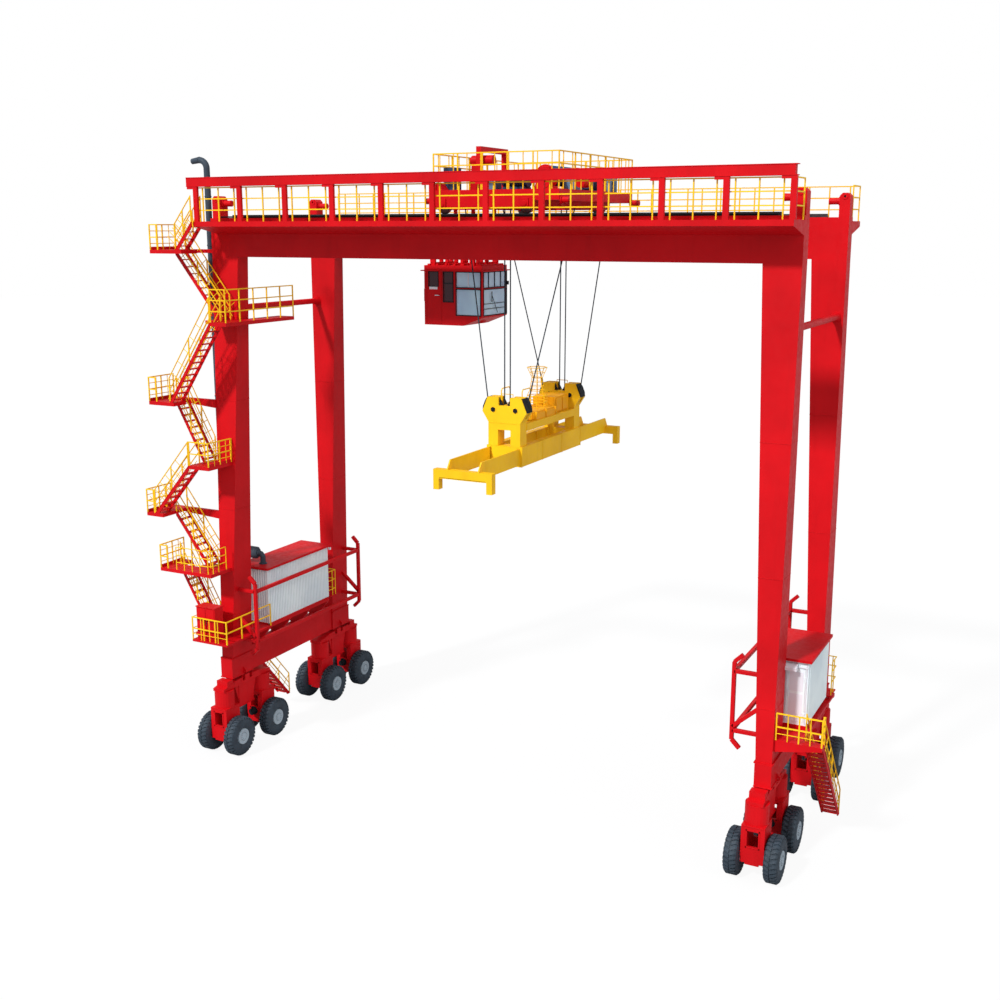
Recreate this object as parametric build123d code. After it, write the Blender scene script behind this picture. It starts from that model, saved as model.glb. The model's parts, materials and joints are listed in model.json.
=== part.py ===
"""Rubber tyred gantry crane in millimetres.  +X runs across the bay along the girders, +Y runs along
the travel direction, away from the stair tower, and +Z is up from the ground."""
import math
import os

from build123d import *

# clearances
RUN = 0.05             # radial gap of a pin or axle in its hole
FACE = 1.0             # gap beside a part that turns
SLIDE = 0.3            # gap between a slide and its guide, and under the trolley wheels
DOOR_GAP = 8.0         # gap round the door leaf

# wheels
TYRE_R = 864.0
TYRE_W = 530.0
TYRE_SIDES = 24
SHOULDER_H = 90.0
SHOULDER_W = 110.0
HUB_R = 354.0
HUB_PROUD = 12.0
AXLE_R = 75.0
WHEEL_PITCH_X = 1446.0     # between the two wheels of a truck
WHEEL_GAP = 30.0           # between a tyre and its truck

# trucks
TRUCK_PITCH_Y = 2483.0     # between the two trucks of a corner
TRUCK_TOP_Z = 2900.0
HEAD_LOW_Z = 2150.0
FORK_LOW_Z = 720.0
FORK_HALF_Y = 460.0
FORK_WALL = 90.0
FORK_STEP_X = 250.0
FORK_STEP_H = 70.0
WINDOW_HALF_X = 205.0
WINDOW_Z0 = 1350.0
WINDOW_Z1 = 1950.0
KINGPIN_R = 90.0
KINGPIN_LOW_Z = 2320.0

# equalizer beams under the legs
PIVOT_Z = TRUCK_TOP_Z + 250.0
PIVOT_R = 60.0
LUG_HALF_X = 150.0
LUG_HALF_Y = 200.0
LUG_DROP = 110.0           # below the pivot
CHEEK_T = 140.0
CHEEK_GAP = 10.0
ARM_HALF_X = 300.0
ARM_END = 380.0            # past the kingpin
ARM_PLATE_H = 120.0
ARM_RISE_H = 170.0
ARM_RISE_Y0 = 330.0
ARM_RISE_Y1 = 700.0
EQUALIZER_WEB_HALF_X = 200.0
EQUALIZER_WEB_HALF_Y = 500.0
EQUALIZER_WEB_LOW_Z = 1830.0

# legs
LEG_OUT_X = 12270.0
LEFT = -LEG_OUT_X          # outer face of the left legs
RIGHT = LEG_OUT_X          # outer face of the right legs
LEG_LOW_W = 550.0
LEG_TOP_W = 1330.0
LEG_IN_X_LOW = LEG_OUT_X - LEG_LOW_W
LEG_IN_X_TOP = LEG_OUT_X - LEG_TOP_W
LEG_IN_Y = 3147.0
LEG_LOW_T = 1358.0
LEG_TOP_T = 653.0
LEG_OUT_Y_LOW = LEG_IN_Y + LEG_LOW_T
LEG_OUT_Y_TOP = LEG_IN_Y + LEG_TOP_T
CORNER_X = LEG_OUT_X - 339.0
CORNER_Y = LEG_IN_Y + 453.0
FOOT_Z = PIVOT_Z + 150.0
FOOT_H = 900.0
FOOT_PROUD = 45.0
JACK_LUG_OUT = 150.0
JACK_LUG_T = 60.0
JACK_HOLE_R = 35.0
SILL_H = 1120.0
SILL_INSET = 20.0
TIE_DROP = 2155.0          # below the girders
TIE_X = LEG_OUT_X - 280.0
TIE_R = 125.0
TIE_FLARE_R = 200.0
TIE_FLARE_L = 300.0

# girders and the stops on their ends
GIRDER_LOW_Z = 21555.0
GIRDER_H = 1555.0
GIRDER_TOP_Z = GIRDER_LOW_Z + GIRDER_H
TIE_Z = GIRDER_LOW_Z - TIE_DROP
RAIL_H = 130.0
RAIL_W = 120.0
RAIL_END_GAP = 470.0
EAR_H = 890.0
EAR_W = 400.0
EAR_T = 500.0
EAR_CHAMFER = 110.0
EAR_HOLE_R = 45.0
EAR_HOLE_DROP = 130.0
BUFFER_DROP = 300.0
BUFFER_R = 122.0
BUFFER_L = 430.0
BUFFER_FLANGE_R = 165.0
BUFFER_FLANGE_T = 60.0

# walkways along the girders
WALK_TOP_Z = GIRDER_TOP_Z - 140.0
WALK_EDGE_H = 200.0
WALK_SOFFIT_H = 490.0
WALK_W = 1410.0
WALK_OUT_Y = LEG_OUT_Y_TOP + WALK_W
WALK_X0 = LEFT + 290.0
RAIL_BAR = 44.0
RAIL_LEVELS = (440.0, 880.0, 1310.0)
POST_FIRST_IN = 450.0      # inside the outer faces of the legs
POST_LAST_IN = 58.3
POST_FIRST_X = LEFT + POST_FIRST_IN
POST_COUNT = 12
POST_PITCH = (RIGHT - LEFT - POST_FIRST_IN - POST_LAST_IN) / (POST_COUNT - 1)
POST_W = 200.0
POST_T = 120.0
POST_TAB_W = 300.0
POST_TAB_H = 100.0
BAY_POSTS = (0.12, 0.48, 0.84)
CABLE_BEAM_GAP = 1360.0
CABLE_BEAM_H = 360.0
CABLE_BEAM_W = 250.0
CABLE_BEAM_X0 = LEFT + 20.0
CABLE_BEAM_X1 = RIGHT - 30.0

# stair tower: each landing is (left end, right end, top)
TOWER_Y0 = -LEG_OUT_Y_LOW - 1145.0
LANE_W = 750.0
LANE_GAP = 40.0
STRINGER_T = 50.0
STRINGER_H = 220.0
TREAD_DEPTH = 220.0
TREAD_T = 40.0
TREAD_RISE = 260.0
LANDING_T = 150.0
BASE_DECK = (LEFT - 630.0, LEFT + 1270.0, FOOT_Z + 2000.0)
LANDING_1 = (LEFT - 2160.0, LEFT + 630.0, BASE_DECK[2] + 3050.0)
LANDING_2 = (LEFT - 2730.0, LEFT - 1830.0, LANDING_1[2] + 2400.0)
LANDING_3 = (LEFT - 280.0, LEFT + 800.0, LANDING_2[2] + 2250.0)
LANDING_4 = (LEFT - 2230.0, LEFT - 880.0, LANDING_3[2] + 2600.0)
CABIN_DECK = (LEFT + 1230.0, LEFT + 2070.0, GIRDER_LOW_Z - 2555.0)
LANDING_6 = (LEFT - 1690.0, LEFT - 30.0, GIRDER_LOW_Z + 295.0)
LANDING_1_HATCH = (LEFT - 1730.0, LEFT - 730.0)
LANDING_4_EDGE = LEFT - 1430.0
LANDING_6_EDGE = LEFT - 1230.0
TOP_FLIGHT_FOOT = LEFT - 630.0
UPPER_LANE = (-LEG_OUT_Y_TOP - 850.0, -LEG_OUT_Y_TOP - 200.0)    # above the cabin's deck, clear of the leg
BRACKET_T = 150.0
BRACKET_H = 350.0
BRACKET_END_H = 160.0
STAIR_LEVELS = (500.0, 1000.0)

# decks, houses and guards beside the legs
DECK_T = 100.0
LEFT_STAIR_X = (LEFT - 1080.0, LEFT - 430.0)
LEFT_STAIR_TOP_Y = -LEG_IN_Y - 53.0
LEFT_STAIR_RUN = 4050.0
LEFT_STAIR_FOOT_Z = 600.0
RIGHT_DECK_Z = FOOT_Z + 1800.0
RIGHT_DECK_X1 = RIGHT + 1680.0
RIGHT_DECK_INNER_X = RIGHT + 930.0
RIGHT_DECK_Y0 = -LEG_OUT_Y_LOW + 205.0
RIGHT_DECK_Y1 = LEG_IN_Y - 1947.0
RIGHT_STAIR_TOP_Y = RIGHT_DECK_Y0 + 400.0
RIGHT_STAIR_RUN = 3800.0
RIGHT_STAIR_FOOT_Z = 750.0
GENERATOR_X = (LEFT - 380.0, LEFT + 1120.0)
GENERATOR_Y = (-LEG_IN_Y + 647.0, LEG_IN_Y - 997.0)
GENERATOR_Z0 = FOOT_Z + 2000.0
GENERATOR_H = 2550.0
EHOUSE_X = (RIGHT - 920.0, RIGHT + 780.0)
EHOUSE_Y = (-LEG_IN_Y + 197.0, -LEG_IN_Y + 3347.0)
EHOUSE_H = 2400.0
EHOUSE_WALL = 60.0
SKID_H = 150.0
SKID_T = 150.0
ROOF_T = 100.0
ROOF_OVERHANG = 120.0
DOOR_X0 = EHOUSE_X[0] + 970.0
DOOR_W = 620.0
DOOR_H = 2000.0
DOOR_T = 50.0
DOOR_PROUD = 6.0
HINGE_IN = 25.0            # hinge axis beyond the edge of the door leaf
HINGE_OUT = 30.0           # hinge axis in front of the wall
HINGE_R = 24.0
HINGE_PIN_R = 14.0
HINGE_H = 120.0
PIPE_R = 135.0
STACK_X = LEFT - 880.0
STACK_Y = -LEG_IN_Y + 147.0
STACK_TOP_Z = GIRDER_TOP_Z + 2390.0
STACK_TURN_X = STACK_X - 630.0
PIPE_BEND = 300.0
MUFFLER_X = LEFT + 170.0
MUFFLER_Y = GENERATOR_Y[0] + 500.0
MUFFLER_R = 260.0
GUARD_X = RIGHT - 1620.0
GUARD_Y = LEG_IN_Y + 853.0
GUARD_W = 150.0
GUARD_Z = (FOOT_Z + 1550.0, FOOT_Z + 4200.0)
GUARD_BARS = (GUARD_Z[0] + 200.0, GUARD_Z[1] - 200.0)
GUARD_BEND = 330.0

# trolley
TROLLEY_X = 860.0          # middle of the hoist and spreader
TROLLEY_X0 = TROLLEY_X - 2620.0
TROLLEY_STEP_X = TROLLEY_X + 1600.0
TROLLEY_X1 = TROLLEY_X + 2570.0
TROLLEY_RAIL_Y = LEG_IN_Y + 253.0
TROLLEY_BEAM_HALF_W = 200.0
TROLLEY_BEAM_LOW = 200.0   # over the rail
TROLLEY_BEAM_H = 590.0
TROLLEY_STEP_H = 260.0
TROLLEY_CROSS_W = 400.0
TROLLEY_DECK_T = 60.0
TROLLEY_WHEEL_R = 250.0
TROLLEY_WHEEL_W = 120.0
TROLLEY_BUFFER_R = 110.0
TROLLEY_BUFFER_L = 390.0
TROLLEY_HATCH_HALF_X = 620.0
TROLLEY_HATCH_Y = 2200.0
TROLLEY_POSTS = 5
PORTAL_X = TROLLEY_X0 + 1260.0
PORTAL_Y = (-2330.0, -30.0)
PORTAL_H = 1630.0
PORTAL_W = 200.0
DRUM_R = 400.0
DRUM_HALF_L = 1500.0
DRUM_AXIS_H = 560.0
DRUM_X = TROLLEY_X + 1040.0
DRUM_STAND_T = 160.0
MOTOR_R = 300.0
MOTOR_L = 1000.0

# cabin
CABIN_X = (TROLLEY_X0 - 1920.0, TROLLEY_X0 + 740.0)
CABIN_Y = (-1070.0, 1090.0)
CABIN_TOP_Z = GIRDER_LOW_Z - 305.0
CABIN_LOW_Z = CABIN_TOP_Z - 2380.0
CABIN_CUT_X = CABIN_X[0] + 1780.0      # where the sloping floor begins
CABIN_CUT_H = 340.0
CABIN_WALL = 60.0
CABIN_LIP = 110.0
CABIN_LIP_T = 40.0
CABIN_LIP_DROP = 230.0
WINDOW_BAND_Z = (CABIN_LOW_Z + 1430.0, CABIN_LOW_Z + 1530.0)
WINDOW_TOP_Z = CABIN_TOP_Z - 270.0
WINDOW_LOW_Z = CABIN_LOW_Z + 430.0
PANE_T = 16.0
DOOR_PANE_X = (CABIN_X[0] + 220.0, CABIN_X[0] + 640.0)
DOOR_PANE_Z0 = CABIN_LOW_Z + 1560.0
SLIT_PANE_X = (CABIN_X[0] + 900.0, CABIN_X[0] + 1320.0)
SLIT_PANE_Z0 = CABIN_LOW_Z + 950.0
SIDE_PANE_X = (CABIN_X[0] + 1490.0, CABIN_X[1] - 90.0)
HANGER_X = (CABIN_X[0] + 380.0, CABIN_X[1] - 480.0)
HANGER_Y = 900.0
HANGER_W = 120.0
HANGER_BEAM_H = 250.0

# headblock
HEAD_FACE_Y = 2850.0
HEAD_T = 560.0
HEAD_UP = 1890.0           # over the spreader's frame
HEAD_HALF_W = 950.0
HEAD_LEG_HALF_W = 690.0
HEAD_CUT_HALF_W = 270.0
HEAD_LOBE_IN = 250.0
HEAD_LOBE_OUT = 720.0
HEAD_NOTCH_H = 320.0
HEAD_WIDE_DROP = 560.0
HEAD_NARROW_DROP = 970.0
HEAD_CUT_DROP = 1260.0
SHEAVE_R = 300.0
SHEAVE_T = 120.0
SHEAVE_X = 480.0
SHEAVE_DROP = 480.0
SHEAVE_ROOM = 30.0         # round a sheave in its slot
HEAD_BOX_Y = (-850.0, 100.0)
HEAD_BOX_UP = 180.0        # over the tie beams
TIE_BEAM_HALF_X = 620.0
TIE_BEAM_W = 180.0
TIE_BEAM_H = 290.0
TIE_BEAM_LOW = 560.0       # over the spreader's frame

# spreader
CONTAINER_TOP_Z = 13285.0
CONTAINER_HALF_L = 6096.0
CONTAINER_HALF_W = 1219.0
LOCK_H = 425.0
LOCK_W = 230.0
END_BEAM_H = 340.0
END_BEAM_W = 290.0
MAIN_HALF_L = 2840.0
MAIN_HALF_W = 760.0
MAIN_BEAM_W = 300.0
MAIN_LOW = 405.0           # over the container
MAIN_H = 770.0
MAIN_SKIN = 60.0
CROSS_W = 560.0
ARM_T = 50.0
ARM_SPACE = 10.0
ARM_INNER_Y = 700.0
ARM_BEVEL = 250.0

# basket for the cable
BASKET_H = 1750.0
BASKET_TOP_R = 430.0
BASKET_WAIST_R = 240.0
BASKET_BASE_R = 400.0
BASKET_BAR = 36.0
BASKET_BARS = 8

# ropes
ROPE_R = 22.0
ROPE_SIDES = 6
ROPE_IN_X = 120.0
ROPE_OUT_X = 940.0
ROPE_SPREAD_X = 1380.0     # how far an outer rope leans out on its way up
ROPE_SPREAD_Y = 950.0

# worked out
SILL_TOP_Z = FOOT_Z + SILL_H
HEAD_TOP_Z = CONTAINER_TOP_Z + MAIN_LOW + MAIN_H + HEAD_UP
RAIL_TOP_Z = GIRDER_TOP_Z + RAIL_H
BEAM_LOW_Z = RAIL_TOP_Z + TROLLEY_BEAM_LOW
BEAM_TOP_Z = BEAM_LOW_Z + TROLLEY_BEAM_H
DECK_TOP_Z = BEAM_TOP_Z + TROLLEY_DECK_T
CABLE_BEAM_Z = WALK_TOP_Z + CABLE_BEAM_GAP
MAIN_LOW_Z = CONTAINER_TOP_Z + MAIN_LOW
MAIN_TOP_Z = MAIN_LOW_Z + MAIN_H
EHOUSE_Z0 = RIGHT_DECK_Z + SKID_H
SHIFT_X = -(LANDING_2[0] + RIGHT_DECK_X1) / 2
LANE_FRONT = (TOWER_Y0, TOWER_Y0 + LANE_W)
LANE_REAR = (TOWER_Y0 + LANE_W + LANE_GAP, TOWER_Y0 + 2 * LANE_W + LANE_GAP)
TOP_LANE = (2 * UPPER_LANE[0] - UPPER_LANE[1] - LANE_GAP, UPPER_LANE[0] - LANE_GAP)
CORNERS = {"front_left": (-1, -1), "back_left": (-1, 1), "front_right": (1, -1), "back_right": (1, 1)}

os.makedirs("parts", exist_ok=True)


def box(x0, x1, y0, y1, z0, z1):
    """Block between the given limits, in either order."""
    size = Box(abs(x1 - x0), abs(y1 - y0), abs(z1 - z0))
    return Pos((x0 + x1) / 2, (y0 + y1) / 2, (z0 + z1) / 2) * size


def prism_y(points, y0, y1):
    """Outline in X and Z, pulled along Y."""
    face = Plane.XZ * make_face(Polyline(*points, close=True))
    return Pos(0, y1, 0) * extrude(face, y1 - y0)


def prism_x(points, x0, x1):
    """Outline in Y and Z, pulled along X."""
    face = Plane.YZ * make_face(Polyline(*points, close=True))
    return Pos(x0, 0, 0) * extrude(face, x1 - x0)


def rod_x(x0, x1, y, z, r):
    return Pos((x0 + x1) / 2, y, z) * Rot(0, 90, 0) * Cylinder(r, abs(x1 - x0))


def rod_y(x, y0, y1, z, r):
    return Pos(x, (y0 + y1) / 2, z) * Rot(90, 0, 0) * Cylinder(r, abs(y1 - y0))


def rod_z(x, y, z0, z1, r):
    return Pos(x, y, (z0 + z1) / 2) * Cylinder(r, abs(z1 - z0))


def ring_x(x, y, z, r, sides):
    """Flat-bottomed polygon across X."""
    outline = RegularPolygon(r, sides, major_radius=False, rotation=180 / sides)
    return Plane(origin=(x, y, z), x_dir=(0, 1, 0), z_dir=(1, 0, 0)) * outline


def disc_x(x0, x1, y, z, r, sides):
    return extrude(ring_x(x0, y, z, r, sides), x1 - x0)


def disc_y(x, y0, y1, z, r, sides):
    outline = RegularPolygon(r, sides, major_radius=False, rotation=180 / sides)
    return extrude(Plane(origin=(x, y0, z), x_dir=(1, 0, 0), z_dir=(0, 1, 0)) * outline, y1 - y0)


def strip(p, q, w):
    """Outline of a straight bar of width w from p to q, both in one plane."""
    a = Vector(p[0], p[1])
    b = Vector(q[0], q[1])
    side = (b - a).normalized() * (w / 2)
    across = Vector(-side.Y, side.X)
    corners = [a + across, b + across, b - across, a - across]
    return [(c.X, c.Y) for c in corners]


def flip_x(shape):
    return mirror(shape, about=Plane.YZ)


def flip_y(shape):
    return mirror(shape, about=Plane.XZ)


def fuse(items):
    """One solid from many."""
    items = list(items)
    return items[0].fuse(*items[1:]) if len(items) > 1 else items[0]


def save(shape, name):
    """Write one node, moved so that the middle of the whole crane is on the origin."""
    pieces = list(shape) if isinstance(shape, (list, tuple)) else [shape]
    pieces = [Pos(SHIFT_X, 0, 0) * piece for piece in pieces]
    whole = Compound(children=pieces) if len(pieces) > 1 else pieces[0]
    export_step(whole, "parts/" + name + ".step")


# frame


def leg_share(z):
    return (z - FOOT_Z) / (GIRDER_LOW_Z - FOOT_Z)


def leg_out_y(z):
    """Outer face of a leg at height z; it leans inward going up."""
    return LEG_OUT_Y_LOW + (LEG_OUT_Y_TOP - LEG_OUT_Y_LOW) * leg_share(z)


def leg_in_x(z):
    return LEG_IN_X_LOW + (LEG_IN_X_TOP - LEG_IN_X_LOW) * leg_share(z)


def leg_shaft():
    """Front right leg, tapered both ways."""
    across = prism_y([(LEG_IN_X_LOW, FOOT_Z), (LEG_OUT_X, FOOT_Z), (LEG_OUT_X, GIRDER_LOW_Z),
                      (LEG_IN_X_TOP, GIRDER_LOW_Z)], -LEG_OUT_Y_LOW - 1, 0)
    along = prism_x([(-LEG_OUT_Y_LOW, FOOT_Z), (-LEG_IN_Y, FOOT_Z), (-LEG_IN_Y, GIRDER_LOW_Z),
                     (-LEG_OUT_Y_TOP, GIRDER_LOW_Z)], 0, LEG_OUT_X + 1)
    return across & along


def jack_lug(x, out):
    """Plate with a hole at the foot of a leg; out is the side that it points to."""
    tip = x + out * JACK_LUG_OUT
    low = FOOT_Z + FOOT_PROUD
    outline = [(x, low), (tip - out * FOOT_PROUD, low), (tip, low + FOOT_PROUD), (tip, low + JACK_LUG_OUT),
               (x, low + 2 * JACK_LUG_OUT)]
    plate = prism_y(outline, -CORNER_Y - LUG_HALF_Y, -CORNER_Y - LUG_HALF_Y + JACK_LUG_T)
    hole_x = x + out * JACK_LUG_OUT / 2
    return plate - rod_y(hole_x, -CORNER_Y - LUG_HALF_Y - 1, -CORNER_Y, low + JACK_LUG_OUT / 2, JACK_HOLE_R)


def leg():
    x0 = LEG_IN_X_LOW - FOOT_PROUD
    x1 = LEG_OUT_X + FOOT_PROUD / 2
    foot = box(x0, x1, -LEG_OUT_Y_LOW - FOOT_PROUD, -LEG_IN_Y, FOOT_Z, FOOT_Z + FOOT_H)
    lug = box(CORNER_X - LUG_HALF_X, CORNER_X + LUG_HALF_X, -CORNER_Y - LUG_HALF_Y, -CORNER_Y + LUG_HALF_Y,
              PIVOT_Z - LUG_DROP, FOOT_Z)
    lug -= rod_x(CORNER_X - LUG_HALF_X, CORNER_X + LUG_HALF_X, -CORNER_Y, PIVOT_Z, PIVOT_R + RUN)
    return fuse([leg_shaft(), foot, lug, jack_lug(x0, -1), jack_lug(x1, 1)])


def girder_ear():
    """Lifting ear and trolley stop on the right end of the front girder."""
    y0 = -LEG_IN_Y - EAR_T
    x0 = LEG_OUT_X - EAR_W
    top = GIRDER_TOP_Z + EAR_H
    outline = [(x0, GIRDER_TOP_Z), (LEG_OUT_X, GIRDER_TOP_Z), (LEG_OUT_X, top - EAR_CHAMFER),
               (LEG_OUT_X - EAR_CHAMFER, top), (x0 + EAR_CHAMFER, top), (x0, top - EAR_CHAMFER)]
    ear = prism_y(outline, y0, -LEG_IN_Y)
    ear -= rod_y(x0 + EAR_W / 2, y0 - 1, -LEG_IN_Y + 1, top - EAR_HOLE_DROP, EAR_HOLE_R)
    z = top - BUFFER_DROP
    y = y0 + EAR_T / 2
    stop = disc_x(x0 - BUFFER_L, x0, y, z, BUFFER_R, TYRE_SIDES)
    flange = disc_x(x0 - BUFFER_FLANGE_T, x0, y, z, BUFFER_FLANGE_R, TYRE_SIDES)
    return fuse([ear, stop, flange])


def girder():
    beam = box(-LEG_OUT_X, LEG_OUT_X, -LEG_OUT_Y_TOP, -LEG_IN_Y, GIRDER_LOW_Z, GIRDER_TOP_Z)
    end = girder_ear()
    return fuse([beam, end, flip_x(end)])


def sill():
    return box(LEG_IN_X_LOW + SILL_INSET, LEG_OUT_X - SILL_INSET, -LEG_IN_Y, LEG_IN_Y, FOOT_Z, SILL_TOP_Z)


def cross_tie():
    """Round tie between the front and back legs, flared where it meets them."""
    pipe = disc_y(TIE_X, -LEG_IN_Y, LEG_IN_Y, TIE_Z, TIE_R, TYRE_SIDES)
    draft = math.degrees(math.atan2(TIE_FLARE_R - TIE_R, TIE_FLARE_L))
    ring = RegularPolygon(TIE_FLARE_R, TYRE_SIDES, major_radius=False, rotation=180 / TYRE_SIDES)
    place = Plane(origin=(TIE_X, -LEG_IN_Y, TIE_Z), x_dir=(1, 0, 0), z_dir=(0, 1, 0))
    cone = extrude(place * ring, TIE_FLARE_L, taper=draft)
    return fuse([pipe, cone, flip_y(cone)])


def walkway():
    outline = [(-LEG_OUT_Y_TOP, WALK_TOP_Z), (-WALK_OUT_Y, WALK_TOP_Z), (-WALK_OUT_Y, WALK_TOP_Z - WALK_EDGE_H),
               (-LEG_OUT_Y_TOP, WALK_TOP_Z - WALK_SOFFIT_H)]
    return prism_x(outline, WALK_X0, LEG_OUT_X)


def cable_beam():
    """Beam over the front walkway on its row of posts."""
    y0 = -WALK_OUT_Y
    pieces = [box(CABLE_BEAM_X0, CABLE_BEAM_X1, y0, y0 + CABLE_BEAM_W, CABLE_BEAM_Z, CABLE_BEAM_Z + CABLE_BEAM_H)]
    for i in range(POST_COUNT):
        x = POST_FIRST_X + i * POST_PITCH
        pieces.append(box(x - POST_W / 2, x + POST_W / 2, y0, y0 + POST_T, WALK_TOP_Z, CABLE_BEAM_Z))
        pieces.append(box(x - POST_W / 2 - POST_TAB_W, x, y0, y0 + POST_T, CABLE_BEAM_Z - POST_TAB_H, CABLE_BEAM_Z))
    return fuse(pieces)


def rail_run(a0, a1, at, z, places, levels, along):
    """Handrail along X or Y: level bars from a0 to a1, and posts at the places given."""
    h = RAIL_BAR / 2

    def piece(low, high, z0, z1):
        if along == "x":
            return box(low, high, at - h, at + h, z0, z1)
        return box(at - h, at + h, low, high, z0, z1)

    bars = [piece(a0 - h, a1 + h, z + k - h, z + k + h) for k in levels]
    bars += [piece(a - h, a + h, z, z + levels[-1]) for a in places]
    return bars


def evenly(a0, a1, count):
    return [a0 + (a1 - a0) * i / count for i in range(count + 1)]


def walkway_railing():
    y = -WALK_OUT_Y + POST_T + RAIL_BAR
    x0 = WALK_X0 + RAIL_BAR
    x1 = LEG_OUT_X - RAIL_BAR
    places = [x0, x1]
    for i in range(POST_COUNT - 1):
        places += [POST_FIRST_X + (i + share) * POST_PITCH for share in BAY_POSTS]
    bars = rail_run(x0, x1, y, WALK_TOP_Z, places, RAIL_LEVELS, "x")
    y1 = -LEG_OUT_Y_TOP - RAIL_BAR
    bars += rail_run(y, y1, x1, WALK_TOP_Z, [y1], RAIL_LEVELS, "y")
    return fuse(bars)


def frame():
    right = leg()
    save(right, "leg_front_right")
    save(flip_x(right), "leg_front_left")
    save(flip_y(right), "leg_back_right")
    save(flip_x(flip_y(right)), "leg_back_left")
    front = girder()
    save(front, "girder_front")
    save(flip_y(front), "girder_back")
    save(sill(), "sill_beam_right")
    save(flip_x(sill()), "sill_beam_left")
    save([cross_tie(), flip_x(cross_tie())], "cross_ties")
    end = LEG_OUT_X - EAR_W - RAIL_END_GAP
    y = -TROLLEY_RAIL_Y
    rail = box(-end, end, y - RAIL_W / 2, y + RAIL_W / 2, GIRDER_TOP_Z, RAIL_TOP_Z)
    save([rail, flip_y(rail)], "trolley_rails")
    save([walkway(), flip_y(walkway())], "girder_walkways")
    save(cable_beam(), "cable_beam")
    guard = walkway_railing()
    save([guard, flip_y(guard)], "walkway_railings")


# stairs


def flight_line(p, q):
    """Height of a flight's top edge at any place along its run."""
    return lambda a: p[1] + (q[1] - p[1]) * (a - p[0]) / (q[0] - p[0])


def flight(p, q, along, lane):
    """Stringers and treads from the low end p to the high end q, both (run, height).  The stringers
    stand on the lower landing and butt against the upper one."""
    pull = prism_y if along == "x" else prism_x
    foot = p[0] + (q[0] - p[0]) * STRINGER_H / (q[1] - p[1])
    outline = [p, q, (q[0], q[1] - STRINGER_H), (foot, p[1])]
    sides = [(lane[0], lane[0] + STRINGER_T), (lane[1] - STRINGER_T, lane[1])]
    stringers = [pull(outline, s0, s1) for s0, s1 in sides]
    count = int((q[1] - p[1]) / TREAD_RISE)
    treads = []
    for i in range(1, count):
        z = p[1] + (q[1] - p[1]) * i / count
        a = p[0] + (q[0] - p[0]) * i / count
        back = a + TREAD_DEPTH * (1 if q[0] > p[0] else -1) / 2
        front = 2 * a - back
        between = (lane[0] + STRINGER_T, lane[1] - STRINGER_T)
        if along == "x":
            treads.append(box(front, back, *between, z - STRINGER_H / 2 - TREAD_T, z - STRINGER_H / 2))
        else:
            treads.append(box(*between, front, back, z - STRINGER_H / 2 - TREAD_T, z - STRINGER_H / 2))
    return stringers, treads


def flight_rail(p, q, along, at):
    """Sloping handrail over one stringer."""
    line = flight_line(p, q)
    h = RAIL_BAR / 2
    pull = prism_y if along == "x" else prism_x
    low, high = sorted((p[0], q[0]))
    low += h
    high -= h
    bars = []
    for k in STAIR_LEVELS:
        outline = [(low - h, line(low - h) + k - h), (high + h, line(high + h) + k - h),
                   (high + h, line(high + h) + k + h), (low - h, line(low - h) + k + h)]
        bars.append(pull(outline, at - h, at + h))
    for a in evenly(low, high, 2):
        outline = [(a - h, line(a - h)), (a + h, line(a + h)), (a + h, line(a) + STAIR_LEVELS[-1]),
                   (a - h, line(a) + STAIR_LEVELS[-1])]
        bars.append(pull(outline, at - h, at + h))
    return fuse(bars)


def tower_flights():
    """Low end, high end and lane of each flight, from the deck at the leg's foot to the walkway."""
    leg_side = -LEG_OUT_X - LANE_GAP
    return [
        ((leg_side, BASE_DECK[2]), (LANDING_1_HATCH[0], LANDING_1[2]), LANE_REAR),
        ((leg_side, LANDING_1[2]), (LANDING_2[1], LANDING_2[2]), LANE_REAR),
        ((LANDING_2[1] - 2 * STRINGER_H, LANDING_2[2]), (LANDING_3[0], LANDING_3[2]), LANE_FRONT),
        ((leg_side, LANDING_3[2]), (LANDING_4_EDGE, LANDING_4[2]), LANE_REAR),
        ((LANDING_4[1] - STRINGER_H, LANDING_4[2]), (CABIN_DECK[0], CABIN_DECK[2]), LANE_FRONT),
        ((CABIN_DECK[0] - STRINGER_H, CABIN_DECK[2]), (LANDING_6_EDGE, LANDING_6[2]), UPPER_LANE),
        ((TOP_FLIGHT_FOOT, LANDING_6[2]), (WALK_X0, WALK_TOP_Z), TOP_LANE),
    ]


def slab(x0, x1, y0, top, t=LANDING_T):
    """Landing in front of the left leg, cut to the lean of the leg's face."""
    low = top - t
    outline = [(y0, low), (-leg_out_y(low), low), (-leg_out_y(top), top), (y0, top)]
    return prism_x(outline, x0, x1)


def bracket(landing):
    """Tapered beam from the side of the leg that carries a landing beside it."""
    top = landing[2]
    outline = [(-LEG_OUT_X, top), (landing[0], top), (landing[0], top - BRACKET_END_H), (-LEG_OUT_X, top - BRACKET_H)]
    return prism_y(outline, LANE_REAR[1], LANE_REAR[1] + BRACKET_T)


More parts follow.
